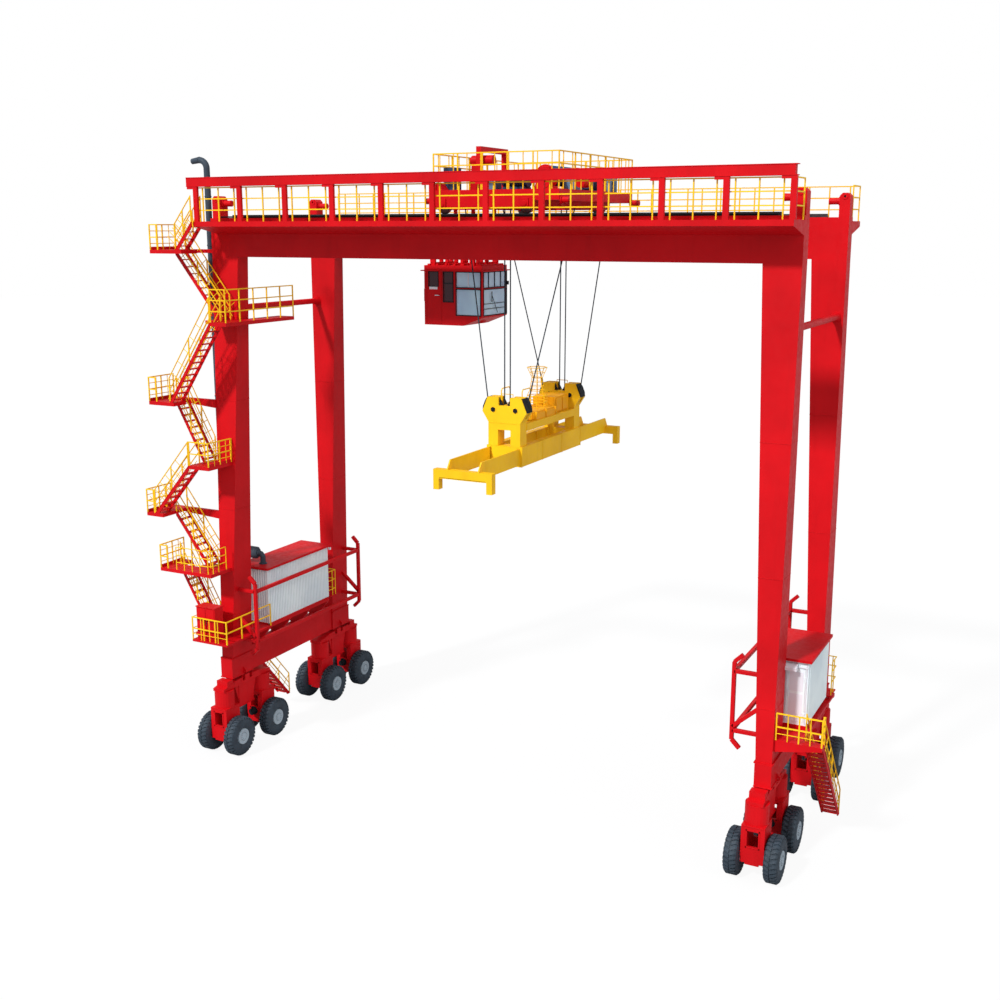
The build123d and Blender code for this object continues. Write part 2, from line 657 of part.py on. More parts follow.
def tower_landings():
    y0 = TOWER_Y0
    rear = LANE_REAR[1]
    edge = -LEG_OUT_X
    x0, x1, z = LANDING_1
    low = z - LANDING_T
    first = fuse([slab(edge, x1, y0, z), box(x0, edge, y0, LANE_REAR[0], low, z),
                  box(x0, LANDING_1_HATCH[0], LANE_REAR[0], rear, low, z),
                  box(LANDING_1_HATCH[1], edge, LANE_REAR[0], rear, low, z)])
    x0, x1, z = LANDING_2
    second = fuse([box(x0, x1, y0, rear, z - LANDING_T, z), bracket(LANDING_2)])
    x0, x1, z = LANDING_3
    third = fuse([slab(edge, x1, y0, z), box(x0, edge, y0, rear, z - LANDING_T, z)])
    x0, x1, z = LANDING_4
    low = z - LANDING_T
    fourth = fuse([box(x0, LANDING_4_EDGE, y0, rear, low, z), box(x0, x1, y0, LANE_FRONT[1], low, z),
                   bracket(LANDING_4)])
    x0, x1, z = LANDING_6
    low = z - LANDING_T
    beam_y = -LEG_OUT_Y_TOP
    sixth = fuse([box(x0, LANDING_6_EDGE, y0, beam_y, low, z), box(x0, x1, y0, TOP_LANE[1], low, z),
                  box(x0, edge, beam_y, beam_y + BRACKET_T, low, z)])
    return [first, second, third, fourth, sixth]


def cabin_deck():
    """Deck in front of the left leg and along its inner side, from which the cabin is entered."""
    x0, x1, z = CABIN_DECK
    low = z - LANDING_T
    end_y = CABIN_Y[0] - LANE_GAP
    return fuse([slab(-LEG_OUT_X + BRACKET_H, x0, LANE_REAR[0], z), box(x0, x1, TOWER_Y0, end_y, low, z)])


def tower_rails():
    h = RAIL_BAR / 2
    y0 = TOWER_Y0 + h
    y1 = LANE_REAR[1] - h
    rails = []
    for p, q, lane in tower_flights():
        for at in (lane[0] + STRINGER_T / 2, lane[1] - STRINGER_T / 2):
            rails.append(flight_rail(p, q, "x", at))
    reach = LANDING_2[1] - 2 * STRINGER_H - LANE_GAP - LANDING_2[0]
    for x0, x1, z in (LANDING_1, LANDING_2, LANDING_4, LANDING_6):
        x = x0 + h
        rails.append(fuse(rail_run(y0, y1, x, z, evenly(y0, y1, 2), STAIR_LEVELS, "y")
                          + rail_run(x, x0 + reach, y0, z, [x0 + reach], STAIR_LEVELS, "x")))
    x0, x1, z = LANDING_3
    y1 = -leg_out_y(z) - RAIL_BAR
    rails.append(fuse(rail_run(y0, y1, x1 - h, z, evenly(y0, y1, 2), STAIR_LEVELS, "y")
                      + rail_run(x0 + RAIL_BAR, x1 - h, y0, z, [x0 + RAIL_BAR], STAIR_LEVELS, "x")))
    x0, x1, z = CABIN_DECK
    y1 = CABIN_Y[0] - LANE_GAP - h
    rails.append(fuse(rail_run(y0, y1, x1 - h, z, evenly(y0, y1, 5), RAIL_LEVELS, "y")
                      + rail_run(x0 + RAIL_BAR, x1 - h, y0, z, [x0 + RAIL_BAR], RAIL_LEVELS, "x")))
    return rails


def side_stairs():
    """Low end, high end and lane of the stairs from the ground to the two decks."""
    left = ((LEFT_STAIR_TOP_Y + LEFT_STAIR_RUN, LEFT_STAIR_FOOT_Z), (LEFT_STAIR_TOP_Y, BASE_DECK[2]), LEFT_STAIR_X)
    lane = (RIGHT_DECK_INNER_X + STRINGER_T, RIGHT_DECK_X1 - STRINGER_T)
    right = ((RIGHT_STAIR_TOP_Y + RIGHT_STAIR_RUN, RIGHT_STAIR_FOOT_Z), (RIGHT_STAIR_TOP_Y, RIGHT_DECK_Z), lane)
    return [left, right]


def stairs():
    stringers = []
    treads = []
    rails = tower_rails()
    for p, q, lane in tower_flights():
        s, t = flight(p, q, "x", lane)
        stringers += s
        treads += t
    for p, q, lane in side_stairs():
        s, t = flight(p, q, "y", lane)
        stringers += s
        treads += t
        for at in (lane[0] + STRINGER_T / 2, lane[1] - STRINGER_T / 2):
            rails.append(flight_rail(p, q, "y", at))
    save(stringers, "stair_stringers")
    save(treads, "stair_treads")
    save(tower_landings(), "stair_landings")
    save(cabin_deck(), "cabin_access_platform")
    save(rails, "stair_railings")


# decks, houses and guards


def base_deck():
    """Deck round the foot of the front left leg, with a strip to the head of the lower stair."""
    x0, x1, top = BASE_DECK
    low = top - DECK_T
    edge = -LEG_OUT_X
    front = TOWER_Y0 + STRINGER_T
    inner = -leg_in_x(low)
    return fuse([slab(edge, x1, front, top, DECK_T), box(x0, edge, front, LANE_REAR[1], low, top),
                 box(LEFT_STAIR_X[0], edge, LANE_REAR[0], LEFT_STAIR_TOP_Y, low, top),
                 box(inner + RAIL_BAR, x1, front, GENERATOR_Y[0] - RAIL_BAR, low, top)])


def right_deck():
    low = RIGHT_DECK_Z - DECK_T
    x0 = LEG_OUT_X
    deck = fuse([box(x0, RIGHT_DECK_X1, RIGHT_DECK_Y0, RIGHT_STAIR_TOP_Y, low, RIGHT_DECK_Z),
                 box(x0, RIGHT_DECK_INNER_X, RIGHT_STAIR_TOP_Y, RIGHT_DECK_Y1, low, RIGHT_DECK_Z)])
    prop = [(x0, low - BRACKET_H), (x0, low), (RIGHT_DECK_X1, low), (RIGHT_DECK_X1, low - FOOT_PROUD)]
    front = prism_y(prop, RIGHT_DECK_Y0, RIGHT_DECK_Y0 + BRACKET_T)
    sill_x = x0 - SILL_INSET
    prop = [(sill_x, SILL_TOP_Z - BRACKET_H), (sill_x, SILL_TOP_Z), (x0, low), (RIGHT_DECK_INNER_X, low),
            (RIGHT_DECK_INNER_X, low - FOOT_PROUD)]
    back = prism_y(prop, RIGHT_DECK_Y1 - BRACKET_T, RIGHT_DECK_Y1)
    return fuse([deck, front, back])


def deck_railings():
    h = RAIL_BAR / 2
    x0, x1, z = BASE_DECK
    y0 = TOWER_Y0 + STRINGER_T + h
    y1 = GENERATOR_Y[0] - RAIL_BAR - h
    left = rail_run(x0 + h, x1 - h, y0, z, evenly(x0 + h, x1 - h, 3), STAIR_LEVELS, "x")
    left += rail_run(y0, y1, x1 - h, z, evenly(y0, y1, 3), STAIR_LEVELS, "y")
    x0 = LEG_OUT_X + RAIL_BAR
    x1 = RIGHT_DECK_X1 - h
    y0 = RIGHT_DECK_Y0 + h
    z = RIGHT_DECK_Z
    right = rail_run(x0, x1, y0, z, evenly(x0, x1, 2), STAIR_LEVELS, "x")
    right += rail_run(y0, RIGHT_STAIR_TOP_Y - h, x1, z, [RIGHT_STAIR_TOP_Y - h], STAIR_LEVELS, "y")
    return [fuse(left), fuse(right)]


def generator_skid():
    """Saddles that spread from the sill beam to the width of the house, with a rail under each side."""
    x0, x1 = GENERATOR_X
    y0, y1 = GENERATOR_Y
    low = SILL_TOP_Z
    top = GENERATOR_Z0
    sill0 = -LEG_OUT_X + SILL_INSET
    sill1 = -LEG_IN_X_LOW - SILL_INSET
    outline = [(sill0, low), (sill1, low), (x1, top - SKID_H), (x1, top), (x0, top), (x0, top - SKID_H)]
    pieces = [prism_y(outline, y, y + SKID_T) for y in evenly(y0, y1 - SKID_T, 3)]
    pieces += [box(x, x + SKID_T, y0, y1, top - SKID_H, top) for x in (x0, x1 - SKID_T)]
    return fuse(pieces)


def house_skid():
    x0, x1 = EHOUSE_X
    low = SILL_TOP_Z
    top = EHOUSE_Z0
    sill0 = LEG_IN_X_LOW + SILL_INSET
    sill1 = LEG_OUT_X - SILL_INSET
    outline = [(sill0, low), (sill1, low), (sill1, RIGHT_DECK_Z), (x1, RIGHT_DECK_Z), (x1, top), (x0, top),
               (x0, RIGHT_DECK_Z)]
    y0, y1 = EHOUSE_Y
    pieces = [prism_y(outline, y, y + SKID_T) for y in evenly(y0, y1 - SKID_T, 2)]
    pieces.append(box(x0, x0 + SKID_T, y0, y1, RIGHT_DECK_Z, top))
    return fuse(pieces)


def hinge_levels():
    """Heights of the two hinges of the door."""
    low = EHOUSE_Z0 + 2 * EHOUSE_WALL
    return [low + DOOR_H * share for share in (0.12, 0.8)]


def hinge_axis():
    return DOOR_X0 + DOOR_GAP + DOOR_W + HINGE_IN, EHOUSE_Y[0] - HINGE_OUT


def electrical_house():
    """Hollow house with a doorway in its front wall and the pins of the door's hinges."""
    x0, x1 = EHOUSE_X
    y0, y1 = EHOUSE_Y
    z0 = EHOUSE_Z0
    z1 = z0 + EHOUSE_H
    w = EHOUSE_WALL
    house = box(x0, x1, y0, y1, z0, z1) - box(x0 + w, x1 - w, y0 + w, y1 - w, z0 + w, z1 - w)
    sill_z = z0 + 2 * w
    house -= box(DOOR_X0, DOOR_X0 + DOOR_W + 2 * DOOR_GAP, y0 - 1, y0 + w + 1, sill_z, sill_z + DOOR_H + 2 * DOOR_GAP)
    hx, hy = hinge_axis()
    pieces = [house]
    for z in hinge_levels():
        pieces.append(box(DOOR_X0 + DOOR_W + 2 * DOOR_GAP, hx + HINGE_R, hy - HINGE_PIN_R, y0, z - HINGE_H / 2, z - FACE))
        pieces.append(rod_z(hx, hy, z - HINGE_H / 2, z + HINGE_H - FACE, HINGE_PIN_R))
    return fuse(pieces)


def house_door():
    """Door leaf with a knuckle at each hinge."""
    x0 = DOOR_X0 + DOOR_GAP
    y0 = EHOUSE_Y[0] - DOOR_PROUD
    z0 = EHOUSE_Z0 + 2 * EHOUSE_WALL + DOOR_GAP
    leaf = box(x0, x0 + DOOR_W, y0, y0 + DOOR_T, z0, z0 + DOOR_H)
    hx, hy = hinge_axis()
    pieces = [leaf]
    for z in hinge_levels():
        pieces.append(box(x0 + DOOR_W - 2 * HINGE_R, hx, hy, y0, z, z + HINGE_H))
        pieces.append(rod_z(hx, hy, z, z + HINGE_H, HINGE_R))
    door = fuse(pieces)
    for z in hinge_levels():
        door -= rod_z(hx, hy, z - 1, z + HINGE_H + 1, HINGE_PIN_R + RUN)
    return door


def roof(xs, ys, z):
    k = ROOF_OVERHANG
    return box(xs[0] - k, xs[1] + k, ys[0] - k, ys[1] + k, z, z + ROOF_T)


def exhaust():
    """Muffler on the roof and one bent pipe up beside the leg, held to it by brackets."""
    roof_z = GENERATOR_Z0 + GENERATOR_H + ROOF_T
    turn_z = roof_z + 2 * MUFFLER_R
    k = PIPE_BEND
    points = [(MUFFLER_X, MUFFLER_Y, turn_z), (STACK_X + k, MUFFLER_Y, turn_z), (STACK_X, MUFFLER_Y - k, turn_z),
              (STACK_X, STACK_Y + k, turn_z), (STACK_X, STACK_Y, turn_z + k), (STACK_X, STACK_Y, STACK_TOP_Z - k),
              (STACK_X - k, STACK_Y, STACK_TOP_Z), (STACK_TURN_X, STACK_Y, STACK_TOP_Z)]
    path = Polyline(*points)
    start = Plane(origin=points[0], z_dir=(-1, 0, 0))
    pipe = sweep(start * RegularPolygon(PIPE_R, TYRE_SIDES // 2), path=path, transition=Transition.RIGHT)
    can = RegularPolygon(MUFFLER_R, TYRE_SIDES)
    muffler = extrude(Pos(MUFFLER_X, MUFFLER_Y, roof_z) * can, turn_z + MUFFLER_R - roof_z)
    pieces = [pipe, muffler]
    for z in (LANDING_1[2], LANDING_3[2], LANDING_4[2], CABIN_DECK[2]):
        pieces.append(box(STACK_X, -LEG_OUT_X, STACK_Y - PIPE_R, -LEG_IN_Y - PIPE_R, z, z + PIPE_R))
        pieces.append(box(STACK_X - PIPE_R, STACK_X + PIPE_R, -LEG_IN_Y - PIPE_R, STACK_Y, z, z + PIPE_R))
    return fuse(pieces)


def guard():
    """Frame of square bars on the inner side of the right legs that keeps containers off them."""
    x = GUARD_X
    z0, z1 = GUARD_Z
    w = GUARD_W
    pieces = []
    for y in (-GUARD_Y, GUARD_Y):
        lines = [((x, z0), (x, z1)), ((x, z0), (x + GUARD_BEND, z0 - GUARD_BEND)),
                 ((x, z1), (x + GUARD_BEND, z1 + GUARD_BEND))]
        lines += [((x, z), (LEG_OUT_X - w, z)) for z in GUARD_BARS]
        lines.append(((x, GUARD_BARS[0] + w), (LEG_OUT_X - w, GUARD_BARS[0] + LEG_OUT_X - x)))
        pieces += [prism_y(strip(p, q, w), y - w / 2, y + w / 2) for p, q in lines]
    pieces += [box(x - w / 2, x + w / 2, -GUARD_Y, GUARD_Y, z - w / 2, z + w / 2) for z in GUARD_BARS]
    body = fuse(pieces)
    shaft = leg_shaft()
    return body - shaft - flip_y(shaft)


def ground_gear():
    save([base_deck(), right_deck()], "side_platforms")
    save(deck_railings(), "side_platform_railings")
    x0, x1, z = BASE_DECK
    y0 = TOWER_Y0 + DECK_T + ROOF_OVERHANG
    save(box(x0 + BRACKET_T, x1 - LANE_W, y0, LANE_REAR[0] - LANE_GAP, z, z + 1450), "control_cabinet")
    z1 = GENERATOR_Z0 + GENERATOR_H
    save(box(*GENERATOR_X, *GENERATOR_Y, GENERATOR_Z0, z1), "generator_house")
    save([generator_skid(), house_skid()], "house_skids")
    save(electrical_house(), "electrical_house")
    save(house_door(), "electrical_house_door")
    save([roof(GENERATOR_X, GENERATOR_Y, z1), roof(EHOUSE_X, EHOUSE_Y, EHOUSE_Z0 + EHOUSE_H)], "house_roofs")
    save(exhaust(), "exhaust_stack")
    save([guard(), flip_x(guard())], "guard_frames")


# running gear


def wheel_pair(x, y):
    """Two tyres with their hubs on one axle.  The flat of each tread stands on the ground."""
    half = WHEEL_PITCH_X / 2
    w = TYRE_W / 2
    flat = w - SHOULDER_W
    draft = math.degrees(math.atan2(SHOULDER_H, SHOULDER_W))
    pieces = [rod_x(x - half, x + half, y, TYRE_R, AXLE_R)]
    for middle in (x - half, x + half):
        pieces.append(disc_x(middle - flat, middle + flat, y, TYRE_R, TYRE_R, TYRE_SIDES))
        for side in (-1, 1):
            ring = ring_x(middle + side * flat, y, TYRE_R, TYRE_R, TYRE_SIDES)
            pieces.append(extrude(ring, SHOULDER_W, dir=(side, 0, 0), taper=draft))
        pieces.append(disc_x(middle - w - HUB_PROUD, middle + w + HUB_PROUD, y, TYRE_R, HUB_R, TYRE_SIDES // 2))
    return fuse(pieces)


def truck(x, y):
    """Fork with a round head, open below, that turns on its kingpin."""
    half = WHEEL_PITCH_X / 2 - TYRE_W / 2 - WHEEL_GAP
    low = FORK_LOW_Z
    step = low - FORK_STEP_H
    k = FORK_STEP_X
    outline = [(x - half, low), (x - k, low), (x - k, step), (x + k, step), (x + k, low), (x + half, low),
               (x + half, HEAD_LOW_Z), (x - half, HEAD_LOW_Z)]
    body = prism_y(outline, y - FORK_HALF_Y, y + FORK_HALF_Y)
    head = Pos(x, y, HEAD_LOW_Z) * RegularPolygon(half, TYRE_SIDES, major_radius=False)
    body = fuse([body, extrude(head, TRUCK_TOP_Z - HEAD_LOW_Z)])
    w = WINDOW_HALF_X
    body -= box(x - w, x + w, y - FORK_HALF_Y - 1, y + FORK_HALF_Y + 1, WINDOW_Z0, WINDOW_Z1)
    inner = FORK_HALF_Y - FORK_WALL
    body -= box(x - w, x + w, y - inner, y + inner, step - 1, WINDOW_Z1)
    body -= rod_x(x - half - 1, x + half + 1, y, TYRE_R, AXLE_R + RUN)
    body -= rod_z(x, y, KINGPIN_LOW_Z - FACE, TRUCK_TOP_Z + 1, KINGPIN_R + RUN)
    return body


def equalizer(x, y, out):
    """Beam that carries two trucks and rocks on a pin under the leg's foot.  out points away from
    the middle of the crane along Y."""
    half = TRUCK_PITCH_Y / 2
    base = TRUCK_TOP_Z + FACE
    plate = base + ARM_PLATE_H
    rise = plate + ARM_RISE_H
    reach = half + ARM_END
    near = ARM_RISE_Y0
    far = ARM_RISE_Y1
    outline = [(-reach, base), (reach, base), (reach, plate), (far, rise), (near, rise), (near, plate),
               (-near, plate), (-near, rise), (-far, rise), (-reach, plate)]
    arm = prism_x([(y + a, z) for a, z in outline], x - ARM_HALF_X, x + ARM_HALF_X)
    pieces = [arm]
    for side in (-1, 1):
        pieces.append(rod_z(x, y + side * half, KINGPIN_LOW_Z, plate, KINGPIN_R))
        inner = x + side * (LUG_HALF_X + CHEEK_GAP)
        pieces.append(box(inner, inner + side * CHEEK_T, y - LUG_HALF_X, y + LUG_HALF_X, base, PIVOT_Z + LUG_DROP))
    leg_face = y + out * (LEG_OUT_Y_LOW + 2 * FOOT_PROUD - CORNER_Y)
    pieces.append(box(x - ARM_HALF_X + CHEEK_GAP, x + ARM_HALF_X - CHEEK_GAP, leg_face, leg_face + out * ARM_END,
                      base, FOOT_Z))
    pieces.append(box(x - EQUALIZER_WEB_HALF_X, x + EQUALIZER_WEB_HALF_X, y - EQUALIZER_WEB_HALF_Y,
                      y + EQUALIZER_WEB_HALF_Y, EQUALIZER_WEB_LOW_Z, base))
    pieces.append(rod_x(x - ARM_HALF_X, x + ARM_HALF_X, y, PIVOT_Z, PIVOT_R))
    return fuse(pieces)


def running_gear():
    for name, (sx, sy) in CORNERS.items():
        x = sx * CORNER_X
        y = sy * CORNER_Y
        save(equalizer(x, y, sy), "equalizer_" + name)
        for end, s in (("outer", 1), ("inner", -1)):
            truck_y = y + sy * s * TRUCK_PITCH_Y / 2
            save(truck(x, truck_y), "truck_" + name + "_" + end)
            save(wheel_pair(x, truck_y), "wheels_" + name + "_" + end)


# trolley


def trolley_side(s):
    """Side beam over one rail, stepped up at its right end, with its wheels and buffers."""
    y = s * TROLLEY_RAIL_Y
    w = TROLLEY_BEAM_HALF_W
    step = BEAM_LOW_Z + TROLLEY_STEP_H
    outline = [(TROLLEY_X0, BEAM_LOW_Z), (TROLLEY_STEP_X, BEAM_LOW_Z), (TROLLEY_STEP_X, step), (TROLLEY_X1, step),
               (TROLLEY_X1, BEAM_TOP_Z), (TROLLEY_X0, BEAM_TOP_Z)]
    pieces = [prism_y(outline, y - w, y + w)]
    axle_z = RAIL_TOP_Z + SLIDE + TROLLEY_WHEEL_R
    for x in (TROLLEY_X0 + 2 * w, TROLLEY_STEP_X - 2 * w):
        t = TROLLEY_WHEEL_W / 2
        pieces.append(disc_y(x, y - t, y + t, axle_z, TROLLEY_WHEEL_R, TYRE_SIDES // 2))
    buffer_z = GIRDER_TOP_Z + EAR_H - BUFFER_DROP
    for x, out in ((TROLLEY_X0, -1), (TROLLEY_X1, 1)):
        pieces.append(disc_x(min(x, x + out * TROLLEY_BUFFER_L), max(x, x + out * TROLLEY_BUFFER_L), y, buffer_z,
                             TROLLEY_BUFFER_R, TYRE_SIDES // 2))
    return pieces


def trolley_deck():
    """Deck plates round the hatch that the ropes pass."""
    outer = TROLLEY_RAIL_Y + TROLLEY_BEAM_HALF_W
    x0 = TROLLEY_X - TROLLEY_HATCH_HALF_X
    x1 = TROLLEY_X + TROLLEY_HATCH_HALF_X
    y = TROLLEY_HATCH_Y
    plates = ((TROLLEY_X0, x0, -outer, outer), (x1, TROLLEY_X1, -outer, outer), (x0, x1, -outer, -y), (x0, x1, y, outer))
    return [box(*plate, BEAM_TOP_Z, DECK_TOP_Z) for plate in plates]


def portal():
    """Two posts on the deck and the beam that lies on them."""
    y0, y1 = PORTAL_Y
    w = PORTAL_W
    x0 = PORTAL_X - w / 2
    top = DECK_TOP_Z + PORTAL_H
    posts = [box(x0, x0 + w, y, y + w, DECK_TOP_Z, top - w) for y in (y0, y1 - w)]
    return posts + [box(x0, x0 + w, y0, y1, top - w, top)]


def trolley_frame():
    """Side beams on the rails, the cross beams between them, and the deck plates and portal on top."""
    inner = TROLLEY_RAIL_Y - TROLLEY_BEAM_HALF_W
    c = TROLLEY_CROSS_W
    low = BEAM_LOW_Z
    pieces = [fuse(trolley_side(-1)), fuse(trolley_side(1))]
    for x, z in ((TROLLEY_X0, low), (TROLLEY_STEP_X - c, low), (TROLLEY_X1 - c, low + TROLLEY_STEP_H)):
        pieces.append(box(x, x + c, -inner, inner, z, BEAM_TOP_Z))
    for s in (-1, 1):
        pieces.append(box(TROLLEY_X - c / 2, TROLLEY_X + c / 2, s * TROLLEY_HATCH_Y, s * inner, low, BEAM_TOP_Z))
    return pieces + trolley_deck() + portal()


def trolley_railing():
    """Handrail round the deck, one panel to a side; the end panels fit between the corner posts."""
    h = RAIL_BAR / 2
    y = TROLLEY_RAIL_Y + TROLLEY_BEAM_HALF_W - h
    x0 = TROLLEY_X0 + h
    x1 = TROLLEY_X1 - h
    z = DECK_TOP_Z
    posts = evenly(-y, y, TROLLEY_POSTS)[1:-1]
    panels = [rail_run(x0, x1, s * y, z, evenly(x0, x1, TROLLEY_POSTS), RAIL_LEVELS[1:], "x") for s in (-1, 1)]
    panels += [rail_run(-y + RAIL_BAR, y - RAIL_BAR, x, z, posts, RAIL_LEVELS[1:], "y") for x in (x0, x1)]
    return [fuse(bars) for bars in panels]


def hoist():
    """Rope drum between two stands, with its gearbox and a motor on the deck."""
    z = DECK_TOP_Z + DRUM_AXIS_H
    half = DRUM_HALF_L
    t = DRUM_STAND_T
    pieces = [disc_y(DRUM_X, -half, half, z, DRUM_R, TYRE_SIDES)]
    stand = [(DRUM_X - DRUM_R, DECK_TOP_Z), (DRUM_X + DRUM_R, DECK_TOP_Z), (DRUM_X + DRUM_R / 2, z + DRUM_R),
             (DRUM_X - DRUM_R / 2, z + DRUM_R)]
    pieces += [prism_y(stand, y, y + t) for y in (-half - t, half)]
    gear_y = half + t
    motor_x = DRUM_X + DRUM_R + MOTOR_R + LANE_GAP
    pieces.append(box(DRUM_X - MOTOR_R, motor_x + MOTOR_R, gear_y, gear_y + 2 * t, DECK_TOP_Z, z + MOTOR_R))
    motor_z = DECK_TOP_Z + MOTOR_R
    pieces.append(disc_y(motor_x, gear_y - MOTOR_L, gear_y, motor_z, MOTOR_R, TYRE_SIDES // 2))
    return fuse(pieces)


def cabin_shell():
    """Hollow cabin with its window openings, roof lip and seat."""
    x0, x1 = CABIN_X
    y0, y1 = CABIN_Y
    w = CABIN_WALL
    low = CABIN_LOW_Z
    top = CABIN_TOP_Z
    nose = low + CABIN_CUT_H
    outline = [(x0, top), (x1, top), (x1, nose), (CABIN_CUT_X, low), (x0, low)]
    inner = [(x0 + w, top - w), (x1 - w, top - w), (x1 - w, nose + w), (CABIN_CUT_X - w / 2, low + w), (x0 + w, low + w)]
    shell = prism_y(outline, y0, y1) - prism_y(inner, y0 + w, y1 - w)
    for cut in window_boxes():
        shell -= cut
    lip_z = top - CABIN_LIP_DROP
    k = CABIN_LIP
    lip = box(x0 - k, x1 + k, y0 - k, y1 + k, lip_z, lip_z + CABIN_LIP_T) - box(x0 + w, x1 - w, y0 + w, y1 - w, low, top)
    seat_x = sum(SIDE_PANE_X) / 2
    floor = low + w
    seat = [box(seat_x - 150, seat_x + 150, -150, 150, floor, floor + 420),
            box(seat_x - 280, seat_x + 280, -280, 280, floor + 400, floor + 520),
            box(seat_x - 280, seat_x - 160, -280, 280, floor + 500, floor + 1200)]
    return fuse([shell, lip] + seat)


def window_boxes():
    """Openings of the cabin's panes, through its front wall and both side walls."""
    y0, y1 = CABIN_Y
    w = CABIN_WALL
    band0, band1 = WINDOW_BAND_Z
    cuts = []
    for y in (y0, y1 - w):
        side = (y - 1, y + w + 1)
        cuts.append(box(*SIDE_PANE_X, *side, band1, WINDOW_TOP_Z))
        cuts.append(box(*SIDE_PANE_X, *side, WINDOW_LOW_Z, band0))
        cuts.append(box(*SLIT_PANE_X, *side, SLIT_PANE_Z0, WINDOW_TOP_Z))
    cuts.append(box(*DOOR_PANE_X, y0 - 1, y0 + w + 1, DOOR_PANE_Z0, WINDOW_TOP_Z))
    front = (CABIN_X[1] - w - 1, CABIN_X[1] + 1, y0 + 2 * w, y1 - 2 * w)
    cuts.append(box(*front, band1, WINDOW_TOP_Z))
    cuts.append(box(*front, WINDOW_LOW_Z, band0))
    return cuts


def cabin_panes():
    """A pane in the middle of the wall for each opening."""
    panes = []
    for cut in window_boxes():
        size = cut.bounding_box()
        lo = size.min
        hi = size.max
        if hi.X - lo.X < hi.Y - lo.Y:
            x = (lo.X + hi.X) / 2
            panes.append(box(x - PANE_T / 2, x + PANE_T / 2, lo.Y, hi.Y, lo.Z, hi.Z))
        else:
            y = (lo.Y + hi.Y) / 2
            panes.append(box(lo.X, hi.X, y - PANE_T / 2, y + PANE_T / 2, lo.Z, hi.Z))
    return panes


def cabin_hanger():
    """Beams out from the trolley's left end, with four posts down to the cabin's roof."""
    w = HANGER_W / 2
    z0 = BEAM_LOW_Z
    z1 = z0 + HANGER_BEAM_H
    pieces = []
    for s in (-1, 1):
        y = s * HANGER_Y
        pieces.append(box(HANGER_X[0] - w, TROLLEY_X0, y - w, y + w, z0, z1))
        for x in HANGER_X:
            pieces.append(box(x - w, x + w, y - w, y + w, CABIN_TOP_Z, z1 if x < TROLLEY_X0 else z0))
    pieces.append(box(HANGER_X[0] - w, HANGER_X[0] + w, -HANGER_Y, HANGER_Y, z0, z1))
    for x in HANGER_X:
        pieces.append(box(x - w, x + w, -HANGER_Y, HANGER_Y, CABIN_TOP_Z, CABIN_TOP_Z + HANGER_W))
    return fuse(pieces)


def trolley():
    save(trolley_frame(), "trolley_frame")
    save(trolley_railing(), "trolley_railings")
    save(hoist(), "hoist_drum")
    save(cabin_hanger(), "cabin_hanger")
    save(cabin_shell(), "cabin_body")
    save(cabin_panes(), "cabin_glass")


# headblock, spreader and ropes


def head_housing(s):
    """Sheave housing at one end of the headblock, on two legs, with a lobe over each sheave."""
    x = TROLLEY_X
    top = HEAD_TOP_Z
    foot = MAIN_TOP_Z
    half = [(HEAD_LOBE_IN, top - HEAD_NOTCH_H), (HEAD_LOBE_IN, top), (HEAD_LOBE_OUT, top),
            (HEAD_HALF_W, top - HEAD_WIDE_DROP), (HEAD_LEG_HALF_W, top - HEAD_NARROW_DROP), (HEAD_LEG_HALF_W, foot),
            (HEAD_CUT_HALF_W, foot), (HEAD_CUT_HALF_W, top - HEAD_CUT_DROP)]
    outline = [(x + a, z) for a, z in half] + [(x - a, z) for a, z in reversed(half)]
    y0, y1 = sorted((s * HEAD_FACE_Y, s * (HEAD_FACE_Y - HEAD_T)))
    body = prism_y(outline, y0, y1)
    middle = (y0 + y1) / 2
    slot = SHEAVE_T / 2 + SHEAVE_ROOM
    pieces = []
    for k in (-1, 1):
        a = k * SHEAVE_X
        body -= box(x + a - k * (SHEAVE_R + SHEAVE_ROOM), x + k * (HEAD_HALF_W + 1), middle - slot, middle + slot,
                    top - SHEAVE_DROP - SHEAVE_R - SHEAVE_ROOM, top + 1)
        pieces.append(disc_y(x + a, middle - SHEAVE_T / 2, middle + SHEAVE_T / 2, top - SHEAVE_DROP, SHEAVE_R,
                             TYRE_SIDES // 2))
        pieces.append(disc_y(x + a, y0 - HUB_PROUD, y1 + HUB_PROUD, top - SHEAVE_DROP, SHEAVE_R / 3, TYRE_SIDES // 2))
    return [body] + pieces


def headblock():
    x = TROLLEY_X
    pieces = head_housing(-1) + head_housing(1)
    inner = HEAD_FACE_Y - HEAD_T
    low = MAIN_TOP_Z + TIE_BEAM_LOW
    for s in (-1, 1):
        at = x + s * TIE_BEAM_HALF_X
        pieces.append(box(at - TIE_BEAM_W / 2, at + TIE_BEAM_W / 2, -inner, inner, low, low + TIE_BEAM_H))
    side = TIE_BEAM_HALF_X - TIE_BEAM_W / 2
    for y in HEAD_BOX_Y:
        pieces.append(box(x - side, x + side, y - BASKET_BASE_R, y + BASKET_BASE_R, low, low + TIE_BEAM_H + HEAD_BOX_UP))
    return fuse(pieces)


